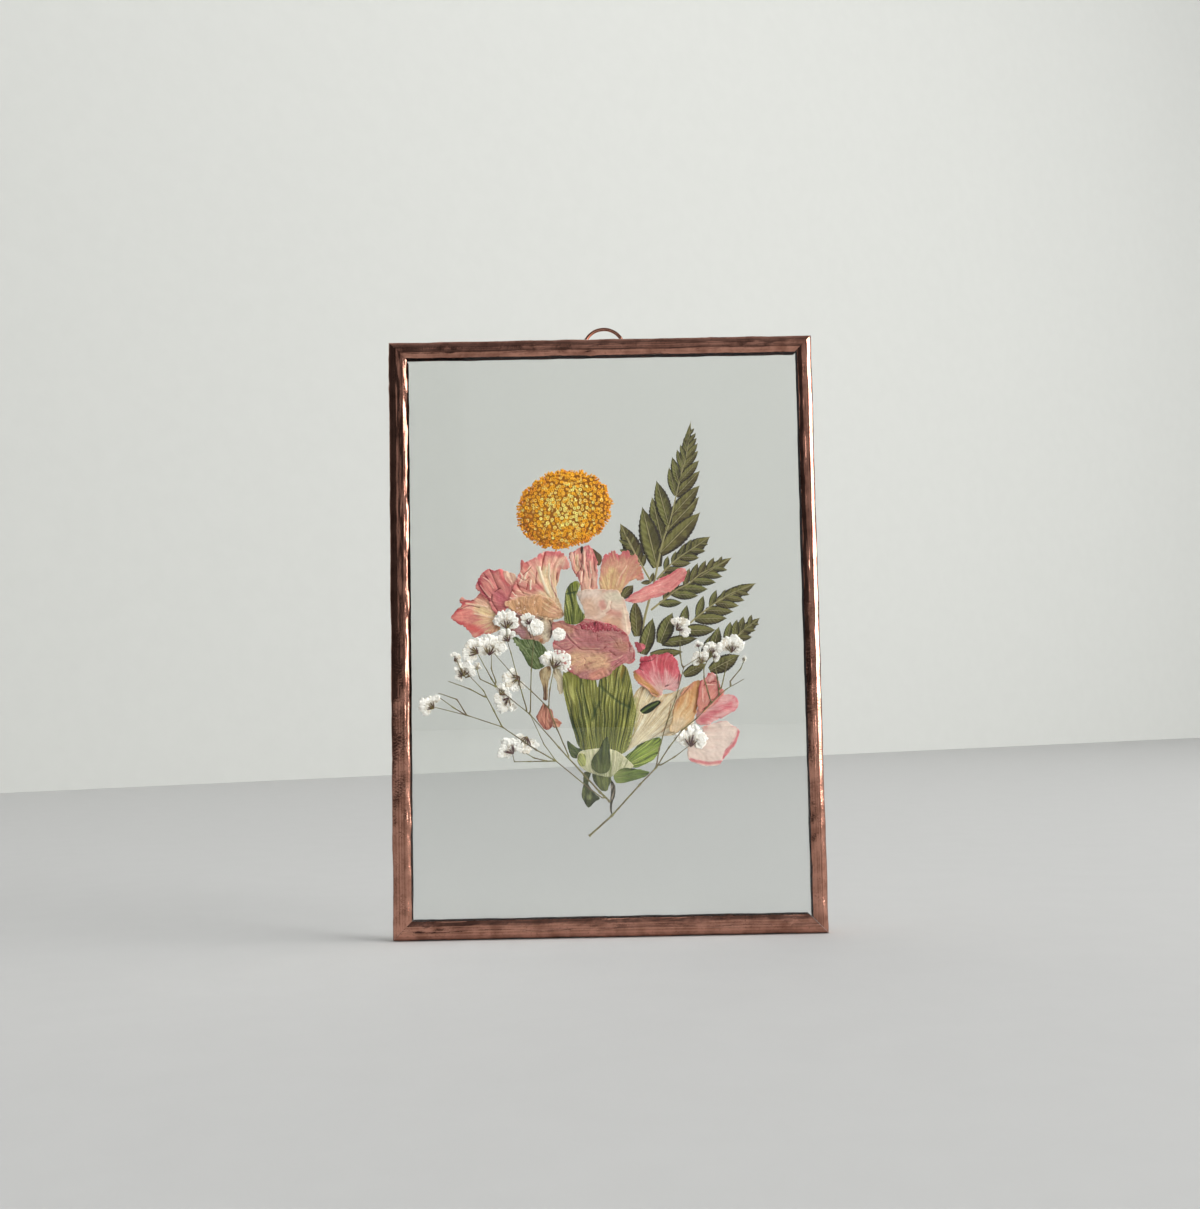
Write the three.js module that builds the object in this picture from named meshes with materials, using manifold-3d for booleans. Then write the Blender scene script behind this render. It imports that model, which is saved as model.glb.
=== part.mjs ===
// Pressed flower frame: a dried bouquet held between two glass panes in a copper rim,
// with a wire loop to hang it by. Millimetres, +Z up, the front faces -Y.
// The origin is the bearing point inside the top of the hanging loop.
import * as THREE from 'three';
import { mergeVertices } from 'three/addons/utils/BufferGeometryUtils.js';
import Module from 'manifold-3d';

const wasm = await Module();
wasm.setup();

// ---------------------------------------------------------------- driving dimensions
const PANE_WIDTH = 127;
const PANE_HEIGHT = 178;
const PANE_THICKNESS = 2;
const PRESS_GAP = 1.8;           // room for the flowers between the panes
const RIM_WALL = 1.1;            // copper and solder outside the edge of the glass
const RIM_FACES = {              // width of each bar seen from the front, uneven as laid by hand
  rim_top: 5.2,
  rim_right: 4.6,
  rim_bottom: 5.7,
  rim_left: 5.8,
};
const RIM_DEPTH = 7;
const RIM_CLEARANCE = 0.1;       // between the glass and the channel of the rim
const MITRE_GAP = 0.06;
const RIM_WAVE = 0.12;           // hand-laid unevenness of the rim
const WIRE_DIAMETER = 1.1;
const LOOP_OUTER_RADIUS = 6.8;
const LOOP_SINK = 1.6;           // centre of the loop below the top of the frame
const LOOP_X = 1.3;              // the loop sits a little right of the middle
const LOOP_FOOT = 1.6;           // straight part of the wire below the arch
const SOLDER_PAD = [2.2, 0.62, 1.5];  // half sizes of the pad on each foot
const PAD_BEHIND = 0.07;         // the pad sits a little behind the wire
const LAYER_PITCH = 0.3;         // the pressed pieces lie in six layers, 0 at the back
const LAYER_THICKNESS = 0.2;
const LAYER_COUNT = 6;
const HEAD_THICKNESS = 1.6;

const FRAME_WIDTH = PANE_WIDTH + 2 * (RIM_WALL + RIM_CLEARANCE);
const FRAME_HEIGHT = PANE_HEIGHT + 2 * (RIM_WALL + RIM_CLEARANCE);
const GLASS_FRONT = PRESS_GAP / 2 + PANE_THICKNESS;
const LOOP_Y = RIM_DEPTH / 2 + WIRE_DIAMETER / 2 + 0.1;
const LOOP_CENTRE_Z = FRAME_HEIGHT / 2 - LOOP_SINK;
const LOOP_INNER_RADIUS = LOOP_OUTER_RADIUS - WIRE_DIAMETER;

// ---------------------------------------------------------------- materials
function finish(color, roughness, metalness = 0) {
  return new THREE.MeshStandardMaterial({ color, roughness, metalness, side: THREE.FrontSide });
}

const COPPER = finish(0x8a5a4c, 0.3, 1);
const GLASS = finish(0xdfe8e4, 0.05);
GLASS.transparent = true;
GLASS.opacity = 0.2;
const YELLOW = finish(0xd99a1c, 0.9);
const DARK_STEM = finish(0x3b3420, 0.85);
const FERN_GREEN = finish(0x5d5e30, 0.8);
const SALMON = finish(0xcf8272, 0.75);
const PALE_PINK = finish(0xdcb49c, 0.75);
const MAUVE = finish(0xb9747a, 0.75);
const CRIMSON = finish(0xb04a5c, 0.75);
const CREAM = finish(0xddc79b, 0.75);
const TAN = finish(0xc08f62, 0.75);
const CALYX_GREEN = finish(0x7d9140, 0.75);
const BRACT_OLIVE = finish(0x5f6a33, 0.8);
const SPRIG_WHITE = finish(0xe4dfd0, 0.85);

// ---------------------------------------------------------------- solids
function toSolid(geometry) {
  const bare = geometry.clone();
  bare.deleteAttribute('normal');
  bare.deleteAttribute('uv');
  const merged = mergeVertices(bare, 1e-5);
  return new wasm.Manifold(new wasm.Mesh({
    numProp: 3,
    vertProperties: merged.attributes.position.array,
    triVerts: Uint32Array.from(merged.index.array),
  }));
}

function fromSolid(solid) {
  const mesh = solid.getMesh();
  const geometry = new THREE.BufferGeometry();
  geometry.setAttribute('position', new THREE.BufferAttribute(mesh.vertProperties, 3));
  geometry.setIndex(new THREE.BufferAttribute(mesh.triVerts, 1));
  geometry.computeVertexNormals();
  return geometry;
}

function fuse(geometries) {
  return fromSolid(geometries.map(toSolid).reduce((whole, next) => whole.add(next)));
}

// A closed skin from rings of points: rings[i][j] is a Vector3, and both ends are capped.
function skin(rings) {
  const sides = rings[0].length;
  const positions = rings.flat().flatMap((point) => [point.x, point.y, point.z]);
  const index = [];
  for (let i = 0; i < rings.length - 1; i += 1) {
    for (let j = 0; j < sides; j += 1) {
      const a = i * sides + j;
      const b = i * sides + ((j + 1) % sides);
      index.push(a, b, b + sides, a, b + sides, a + sides);
    }
  }
  const section = rings[0].map((point) => new THREE.Vector2(point.profileU, point.profileY));
  const last = (rings.length - 1) * sides;
  const turned = THREE.ShapeUtils.isClockWise(section);
  for (const face of THREE.ShapeUtils.triangulateShape(section, [])) {
    const [a, b, c] = turned ? face.slice().reverse() : face;
    index.push(a, c, b);
    index.push(last + a, last + b, last + c);
  }
  const geometry = new THREE.BufferGeometry();
  geometry.setAttribute('position', new THREE.Float32BufferAttribute(positions, 3));
  geometry.setIndex(index);
  const solid = toSolid(geometry);
  return solid.volume() > 0 ? fromSolid(solid) : flip(geometry);
}

function flip(geometry) {
  const order = Array.from(geometry.index.array);
  for (let i = 0; i < order.length; i += 3) {
    [order[i], order[i + 1]] = [order[i + 1], order[i]];
  }
  geometry.setIndex(order);
  geometry.computeVertexNormals();
  return geometry;
}

// ---------------------------------------------------------------- rim, panes and loop
// Section of the rim: a flattened round bead with a slot for the glass.
// u runs inwards from the outer edge of the frame, y from front to back.
function rimSection(face, wave) {
  const centreU = 2.35;
  const outerU = 2.65;           // reaches past the edge, where the bead is flattened
  const radiusY = RIM_DEPTH / 2;
  const power = 2.7;
  const squareness = 2 / power;
  const lip = GLASS_FRONT + RIM_CLEARANCE;
  const innerU = (face - centreU) / Math.pow(1 - Math.pow(lip / radiusY, power), 1 / power);
  const halfTurn = Math.PI - Math.asin(Math.pow(lip / radiusY, 1 / squareness));
  const steps = 12;
  const points = [];
  for (let i = 0; i <= steps; i += 1) {
    const angle = Math.PI - halfTurn + (2 * halfTurn * i) / steps;
    const c = Math.cos(angle);
    const s = Math.sin(angle);
    const inward = Math.sign(c) * Math.pow(Math.abs(c), squareness);
    const across = Math.sign(s) * Math.pow(Math.abs(s), squareness);
    const reach = inward > 0 ? innerU * (1 + wave) : outerU;
    const u = Math.max(0, centreU + reach * inward);
    const depth = radiusY * Math.abs(across) * (1 + 0.4 * wave * Math.abs(across));
    const onLip = i === 0 || i === steps;
    points.push([u, -Math.sign(across) * (onLip ? lip : depth)]);
  }
  points.push([RIM_WALL, lip], [RIM_WALL, -lip]);
  return points;
}

function unevenness(seed, t) {
  return RIM_WAVE * (0.5 * Math.sin(9 * t + seed) + 0.3 * Math.sin(23 * t + 2 * seed)
    + 0.2 * Math.sin(41 * t + 3 * seed));
}

// One length of rim along +X with its outer edge at z = 0 and mitred ends.
function rimBar(length, face, seed) {
  const stations = 10;
  const rings = [];
  for (let i = 0; i <= stations; i += 1) {
    const t = (2 * i) / stations - 1;
    rings.push(rimSection(face, unevenness(seed, t)).map(([u, y]) => {
      const point = new THREE.Vector3(t * (length / 2 - u - MITRE_GAP), y, -u);
      point.profileU = u;
      point.profileY = y;
      return point;
    }));
  }
  return skin(rings);
}

function addRim(parent) {
  const bars = [
    ['rim_top', FRAME_WIDTH, 0, FRAME_HEIGHT / 2, 0],
    ['rim_right', FRAME_HEIGHT, FRAME_WIDTH / 2, 0, Math.PI / 2],
    ['rim_bottom', FRAME_WIDTH, 0, -FRAME_HEIGHT / 2, Math.PI],
    ['rim_left', FRAME_HEIGHT, -FRAME_WIDTH / 2, 0, -Math.PI / 2],
  ];
  bars.forEach(([name, length, x, z, turn], seed) => {
    const bar = new THREE.Mesh(rimBar(length, RIM_FACES[name], seed + 1), COPPER);
    bar.name = name;
    bar.position.set(x, 0, z);
    bar.rotation.y = turn;
    parent.add(bar);
  });
}

function addPane(parent, name, side) {
  const pane = new THREE.Mesh(new THREE.BoxGeometry(PANE_WIDTH, PANE_THICKNESS, PANE_HEIGHT), GLASS);
  pane.name = name;
  pane.position.y = side * (PRESS_GAP + PANE_THICKNESS) / 2;
  parent.add(pane);
}

// An arch of wire whose feet lie in a flattened pad of solder on the back of the top rim.
function addHangingLoop(parent) {
  const radius = LOOP_OUTER_RADIUS - WIRE_DIAMETER / 2;
  const path = new THREE.CurvePath();
  const foot = -LOOP_FOOT;
  const padHeight = foot + SOLDER_PAD[2] / 3;
  path.add(new THREE.LineCurve3(new THREE.Vector3(-radius, 0, foot), new THREE.Vector3(-radius, 0, 0)));
  const arch = new THREE.CatmullRomCurve3(
    Array.from({ length: 13 }, (_, i) => {
      const angle = Math.PI - (Math.PI * i) / 12;
      return new THREE.Vector3(radius * Math.cos(angle), 0, radius * Math.sin(angle));
    }),
  );
  path.add(arch);
  path.add(new THREE.LineCurve3(new THREE.Vector3(radius, 0, 0), new THREE.Vector3(radius, 0, foot)));
  const section = new THREE.Shape();
  section.absarc(0, 0, WIRE_DIAMETER / 2, 0, 2 * Math.PI);
  const wire = new THREE.ExtrudeGeometry(section, { steps: 14, curveSegments: 4, extrudePath: path });
  const blobs = [-radius, radius].map((x) => {
    const blob = new THREE.SphereGeometry(1, 10, 6);
    blob.scale(...SOLDER_PAD);
    blob.translate(x, PAD_BEHIND, padHeight);
    return blob;
  });
  const loop = new THREE.Mesh(fuse([wire, ...blobs]), COPPER);
  loop.name = 'hanging_loop';
  loop.position.set(LOOP_X, LOOP_Y, LOOP_CENTRE_Z);
  parent.add(loop);
}

// ---------------------------------------------------------------- pressed pieces
// Outlines are [x, z] points from the middle of the frame, seen from the front.
function layerY(layer) {
  return (LAYER_COUNT - 1) * LAYER_PITCH / 2 - layer * LAYER_PITCH;
}

function closedCurve(points, spacing) {
  const curve = new THREE.CatmullRomCurve3(
    points.map(([x, z]) => new THREE.Vector3(x, 0, z)), true, 'centripetal',
  );
  const count = Math.max(points.length, Math.round(curve.getLength() / spacing));
  return curve.getSpacedPoints(count).slice(0, -1);
}

// The edge ripples in and out by `frill`, as a carnation's cut edge does.
function frilled(points, frill) {
  const count = points.length;
  return points.map((point, i) => {
    const before = points[(i + count - 1) % count];
    const after = points[(i + 1) % count];
    const out = new THREE.Vector3(after.z - before.z, 0, before.x - after.x).normalize();
    const ripple = Math.sin(i * 2.3) * 0.6 + Math.sin(i * 1.1 + 1) * 0.4;
    return point.clone().addScaledVector(out, frill * ripple);
  });
}

function plate(points, layer) {
  const shape = new THREE.Shape(points.map((point) => new THREE.Vector2(point.x, point.z)));
  const slab = new THREE.ExtrudeGeometry(shape, { depth: LAYER_THICKNESS, bevelEnabled: false });
  slab.rotateX(Math.PI / 2);
  slab.translate(0, layerY(layer) + LAYER_THICKNESS / 2, 0);
  return slab;
}

function addSheet(parent, name, layer, material, outline, { spacing = 1.6, frill = 0, hole } = {}) {
  const edge = frilled(closedCurve(outline, spacing), frill);
  const whole = toSolid(plate(edge, layer));
  const solid = hole ? whole.subtract(toSolid(plate(closedCurve(hole, spacing), layer))) : whole;
  const sheet = new THREE.Mesh(fromSolid(solid), material);
  sheet.name = name;
  parent.add(sheet);
}

const FRILL = 0.22;
const PETALS = [
  ['petal_far_left', 1, SALMON, [[-46.5, 6], [-45, 4], [-43, 3], [-41.5, 1.5], [-39.5, -0.5], [-37, 0.5],
    [-35, 0.5], [-32.5, 1.5], [-31, 4.5], [-31.5, 7], [-33, 10], [-36, 12], [-38, 13.5], [-39, 11.5],
    [-41.5, 11], [-43, 12], [-44.2, 11.5], [-43.5, 9.5], [-45, 8]]],
  ['petal_left', 2, SALMON, [[-39, 16], [-38.5, 17.5], [-36.5, 19.5], [-35, 20.5], [-33.5, 20], [-31.5, 20.5],
    [-30, 19.5], [-27.5, 19], [-26, 16], [-26, 12], [-28, 9], [-30, 7.5], [-32.5, 6], [-34.5, 9], [-35.5, 11],
    [-37.5, 12.5], [-39, 14.5]]],
  ['petal_fan_left', 3, SALMON, [[-25, 23], [-23.5, 22.5], [-22, 23], [-20.5, 24], [-18, 25.5], [-15, 25.4],
    [-12.5, 25], [-11, 23], [-10, 20], [-13, 19.5], [-13.7, 17], [-14.5, 13], [-13.5, 9.5], [-12.4, 5.5],
    [-16, 4.5], [-20.5, 5.5], [-25, 6], [-28.5, 7.5], [-30.5, 9], [-28.5, 11.5], [-28, 14.5],
    [-26.5, 17.5], [-25.5, 19.5]]],
  ['petal_folded', 2, PALE_PINK, [[-10.5, 25], [-8.5, 25.6], [-6.5, 26.6], [-4.8, 27], [-3.5, 26], [-2, 22],
    [-2, 17.5], [-2.5, 13], [-7, 12.5], [-7.5, 15.5], [-9, 18.5], [-10.3, 21.5]]],
  ['petal_fan_right', 2, SALMON, [[-1, 21], [-0.3, 23.5], [1, 24.5], [3.5, 25.5], [4.4, 23.8], [5.5, 25],
    [7.5, 25.2], [8.2, 23.7], [9.5, 24], [11, 21.5], [12, 18], [12, 16], [9, 16], [7.5, 15.5], [6, 14],
    [4.5, 12], [-0.7, 12.5]]],
  ['petal_pale', 3, PALE_PINK, [[-8.5, 12.5], [-7, 13.3], [-1.5, 13.5], [4, 13], [5, 11.5], [6, 10], [7, 6.5],
    [7.5, 0], [6, -1.5], [2, 1], [-3, 2], [-5.8, 3.5], [-6.5, 7.5], [-7.5, 10]]],
  ['petal_long_pink', 4, SALMON, [[6, 10], [8, 11.5], [12.5, 14], [18, 17], [20.5, 18], [22.5, 19.5],
    [24.5, 19.2], [25, 17.5], [23, 14.5], [20.5, 12.5], [15, 10.5], [10, 9], [7.5, 9.6]]],
  ['petal_mauve', 4, MAUVE, [[-16, 3.5], [-12.5, 4], [-9, 2.5], [-6.5, 4.5], [-1, 3.5], [3, 2.5], [6.5, -0.5],
    [8, -3.5], [9, -6.5], [8, -9], [4.5, -9.5], [2.5, -11], [0, -13], [-3.5, -14], [-8, -13], [-12, -10.5],
    [-14, -7.5], [-16, -3.5], [-15.5, -1]]],
  ['petal_scrap', 4, TAN, [[8.8, -2.6], [10.5, -3], [12, -4], [11.5, -5], [10.5, -6], [9.6, -5]]],
  ['petal_crimson', 4, CRIMSON, [[9.5, -10.5], [10.5, -7.5], [12, -7], [16, -6.4], [18.5, -6], [20.5, -7],
    [22, -10], [22.7, -13], [22, -16], [21, -17.5], [17, -17.5], [16.5, -19], [15, -19.5], [12, -17],
    [9, -14.5], [8.2, -12]]],
  ['petal_tan', 3, TAN, [[21, -20.5], [22.5, -18.5], [25, -16], [29, -14.5], [29, -17.5], [28, -21],
    [27, -24], [24, -29], [19, -30], [19.5, -27], [20, -23.5]]],
  ['petal_rose_upper', 4, CRIMSON, [[28.5, -14.5], [30, -13.5], [31, -12.5], [32.5, -12.5], [33.5, -14],
    [34.5, -16.5], [35.5, -18], [33, -21.5], [28, -24.5]]],
  ['petal_rose_lower', 2, SALMON, [[32, -20], [36.5, -19], [38.5, -19.5], [40, -22], [39, -23.5], [34.5, -26],
    [30, -28], [27, -27.5], [27.5, -23]]],
  ['petal_blush', 3, PALE_PINK, [[28.5, -28.5], [31, -28], [35.5, -27], [37.5, -28], [40, -30.5], [39, -32.5],
    [38, -35], [35, -38], [34, -39.5], [31, -40.5], [26.5, -39.5], [24, -37.5], [24.5, -34], [28.5, -31]]],
  ['petal_under', 1, MAUVE, [[-29.5, 5.5], [-25.5, 6.5], [-20, 6], [-16, 5], [-15.5, 1.5], [-17, -1.5],
    [-19.5, -3], [-23, -2], [-26, -0.5], [-28, 1], [-29.5, 3.5]]],
  ['petal_bud', 2, TAN, [[-19, -20.5], [-18, -21.5], [-16.5, -23], [-16, -25.5], [-16.5, -27.5], [-17.5, -29],
    [-19.5, -27.5], [-21, -25.5], [-20.5, -23]]],
  ['petal_flake', 3, TAN, [[-16, -25], [-14, -26], [-14, -27.5], [-16, -28]]],
];

const CREAM_FAN = [[4.5, -36], [6.5, -32.5], [8, -29.5], [8, -19.5], [11, -16], [16, -18.5], [20.5, -18],
  [25, -16.5], [26, -27.5], [22, -30.5], [14.5, -31.5], [9.5, -33.5]];
const CREAM_FAN_GAP = [[10, -23.5], [13.5, -21], [16.5, -20.5], [15, -22.5], [13, -24], [11.5, -24.5]];

const GREENS = [
  ['calyx_upper', 5, CALYX_GREEN, [[-10, 15.5], [-7.5, 16], [-7.5, 14.5], [-8.5, 11.5], [-8, 9], [-7, 7],
    [-6, 5], [-8.5, 3], [-10.5, 3], [-12, 3.5], [-12, 11], [-11.5, 13.5]]],
  ['calyx_main', 3, CALYX_GREEN, [[-12.5, -10.5], [-9.5, -10], [-3.5, -11], [2, -10], [5.5, -9.5], [7, -12.5],
    [8.5, -21.5], [9, -23.5], [8.5, -26], [7.5, -30.5], [5, -36], [-1.5, -35.5], [-8, -34.5], [-10, -29.5],
    [-11, -26], [-12.5, -19.5], [-13, -16.5]]],
  ['calyx_collar', 4, BRACT_OLIVE, [[-8.5, -35.5], [-7, -35], [-1.5, -34.5], [3, -35.5], [6, -38], [8, -40.5],
    [5, -40.5], [2.5, -41.5], [1.5, -43], [-4.5, -42], [-7.5, -40.5], [-9.2, -38]]],
  ['bract_centre', 5, BRACT_OLIVE, [[0, -31], [0.5, -33], [0.8, -38.5], [0.5, -41], [-1.5, -42], [-3.5, -41.5],
    [-5, -39.5], [-4, -36.5], [-2.5, -35], [-1.5, -32.5]]],
  ['bract_left', 2, BRACT_OLIVE, [[-12, -32], [-9.5, -34], [-7.5, -34.8], [-8, -36.5], [-10, -37.5],
    [-11.5, -35.5]]],
  ['bract_left_pale', 5, CALYX_GREEN, [[-8.5, -36], [-7, -36], [-6.5, -37.5], [-7.2, -40], [-8.4, -39.4],
    [-9, -38]]],
  ['bract_right', 3, BRACT_OLIVE, [[2, -41.5], [4, -40.5], [9.5, -41], [12.5, -42], [11.5, -43], [6.5, -44.5],
    [4, -45], [2, -44.5]]],
  ['bract_light', 2, CALYX_GREEN, [[5, -37.5], [7.5, -35.5], [9.5, -33.5], [12, -32.5], [15.5, -31.5],
    [16.5, -32.5], [15.5, -35], [14.5, -37.5], [10, -40], [7.5, -40.5]]],
  ['bract_foot', 3, BRACT_OLIVE, [[-4.5, -41], [-0.5, -41.5], [1, -43.5], [0.5, -45.2], [-1, -47.6],
    [-3, -46], [-4, -45]]],
  ['leaf_foot', 2, BRACT_OLIVE, [[-7, -41.5], [-7.5, -45.5], [-8, -48], [-7.5, -50], [-5.5, -52.5], [-5, -51],
    [-2.5, -49.5], [-4, -48], [-6, -44.5], [-5, -42]]],
  ['stem_stub', 2, DARK_STEM, [[0.8, -44], [2, -45.5], [2, -48.5], [1, -51.5], [1, -54.5], [0.4, -53.5],
    [0.5, -50.5], [0.8, -47.5]]],
  ['leaf_left', 2, FERN_GREEN, [[-28.5, -0.5], [-27.5, 0], [-26, -1], [-21, -1.5], [-19, -3], [-17.5, -5.5],
    [-18.5, -9.5], [-20, -10.3], [-22.5, -10], [-25, -6]]],
  ['petiole', 3, TAN, [[-20, -11], [-17, -9.5], [-16.5, -11], [-17.5, -15], [-18, -20], [-18.8, -20],
    [-19, -16.5]]],
  ['calyx_sliver', 2, TAN, [[-15, -9.5], [-13.5, -11.5], [-13, -14.5], [-13.5, -18.5], [-14.5, -17],
    [-15, -14], [-16, -12]]],
  ['billy_button_stem', 3, DARK_STEM, [[-8, 26.2], [-6, 26.7], [-5, 26.3], [-6.4, 24.4], [-7.6, 24.4]]],
  ['leaf_bit', 1, DARK_STEM, [[-3.5, 26], [-2, 25], [-0.8, 24], [-0.7, 22], [-1.5, 20.5], [-2.6, 22],
    [-3, 24.5]]],
];

// ---------------------------------------------------------------- round flower head
const HEAD_OUTLINE = [[-26.4, 37.5], [-25.2, 42.5], [-22, 46], [-16, 49.8], [-11.5, 50.4], [-6.5, 50], [-1.5, 48],
  [2, 43.8], [3, 38], [0.8, 32.5], [-4.8, 28], [-12, 25.8], [-18.8, 26.5], [-24, 29.9], [-26.2, 34]];

// A flat cushion of florets: rings of points from the rim to the middle of both faces.
function addHead(parent) {
  const edge = closedCurve(HEAD_OUTLINE, 2.1);
  const middle = new THREE.Vector3(-11.8, 0, 38.2);
  const ringScale = [0.45, 0.72, 0.9];
  const ringDepth = [1, 0.94, 0.8];
  const bump = (i, ring) => 1 + 0.05 * Math.sin(i * 2.1 + ring * 1.7);
  const positions = [];
  const index = [];
  const count = edge.length;
  const push = (point, scale, y) => {
    const spot = middle.clone().lerp(point, scale);
    positions.push(spot.x, y, spot.z);
  };
  edge.forEach((point, i) => push(point, 1 + 0.03 * Math.sin(i * 2.6), 0));
  for (const side of [-1, 1]) {
    for (let ring = 0; ring < 3; ring += 1) {
      const y = side * HEAD_THICKNESS / 2 * ringDepth[ring];
      edge.forEach((point, i) => push(point, ringScale[ring] * bump(i, ring), y * (0.9 + 0.1 * Math.sin(i * 3.3))));
    }
    positions.push(middle.x, side * HEAD_THICKNESS / 2, middle.z);
  }
  const faceStart = (face) => count + face * (3 * count + 1);
  const strip = (outer, inner, reversed) => {
    for (let i = 0; i < count; i += 1) {
      const j = (i + 1) % count;
      const quad = [outer + i, outer + j, inner + j, outer + i, inner + j, inner + i];
      index.push(...(reversed ? quad.reverse() : quad));
    }
  };
  for (const face of [0, 1]) {
    const start = faceStart(face);
    strip(0, start + 2 * count, face === 1);
    strip(start + 2 * count, start + count, face === 1);
    strip(start + count, start, face === 1);
    const centre = start + 3 * count;
    for (let i = 0; i < count; i += 1) {
      const triangle = [start + i, start + ((i + 1) % count), centre];
      index.push(...(face === 1 ? triangle.reverse() : triangle));
    }
  }
  const geometry = new THREE.BufferGeometry();
  geometry.setAttribute('position', new THREE.Float32BufferAttribute(positions, 3));
  geometry.setIndex(index);
  const solid = toSolid(geometry);
  const head = new THREE.Mesh(solid.volume() > 0 ? fromSolid(solid) : flip(geometry), YELLOW);
  head.name = 'billy_button_head';
  parent.add(head);
}

// ---------------------------------------------------------------- fern
// One leaflet from its base to its tip, widest near the middle and pointed.
function leaflet(base, tip, breadth, layer) {
  const along = tip.clone().sub(base);
  const across = new THREE.Vector3(-along.z, 0, along.x).normalize().multiplyScalar(breadth / 2);
  const outline = [[0, -0.25], [0.35, -0.85], [0.7, -0.85], [1, 0], [0.8, 0.6], [0.5, 0.95], [0, 0.25]];
  const points = outline.map(([t, w]) => base.clone().addScaledVector(along, t).addScaledVector(across, w));
  return plate(points, layer);
}

// A strip along a line of points; `widths` are spread evenly from its start to its end.
function strip(line, widths, layer) {
  const count = line.length;
  const left = [];
  const right = [];
  line.forEach((point, i) => {
    const before = line[Math.max(0, i - 1)];
    const after = line[Math.min(count - 1, i + 1)];
    const side = new THREE.Vector3(before.z - after.z, 0, after.x - before.x).normalize();
    const place = (i / (count - 1)) * (widths.length - 1);
    const low = Math.min(widths.length - 2, Math.floor(place));
    const half = (widths[low] + (widths[low + 1] - widths[low]) * (place - low)) / 2;
    left.push(point.clone().addScaledVector(side, half));
    right.unshift(point.clone().addScaledVector(side, -half));
  });
  return plate([...left, ...right], layer);
}

function spacedLine(points, count) {
  return new THREE.CatmullRomCurve3(points.map(([x, z]) => new THREE.Vector3(x, 0, z))).getSpacedPoints(count);
}

// A fern spray: a rib from base to tip, with a leaflet to each given tip point.
// `lean` is the angle between a leaflet and the rib, `slender` its breadth over its length,
// and `blade` the widths of the undivided blade along the rib.
function addSpray(parent, name, layer, rib, tips, { lean, slender, blade }) {
  const line = spacedLine(rib, 60);
  const step = line[0].distanceTo(line[1]);
  const leaflets = tips.map(([x, z]) => {
    const tip = new THREE.Vector3(x, 0, z);
    const distances = line.map((point) => point.distanceTo(tip));
    const nearest = distances.indexOf(Math.min(...distances));
    const back = distances[nearest] / Math.tan(lean * Math.PI / 180) / step;
    const base = line[Math.max(0, Math.round(nearest - back))];
    return leaflet(base, tip, Math.max(0.8, slender * base.distanceTo(tip)), layer);
  });
  const spine = strip(spacedLine(rib, 12), blade, layer);
  const spray = new THREE.Mesh(fuse([spine, ...leaflets]), FERN_GREEN);
  spray.name = name;
  parent.add(spray);
}

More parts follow.
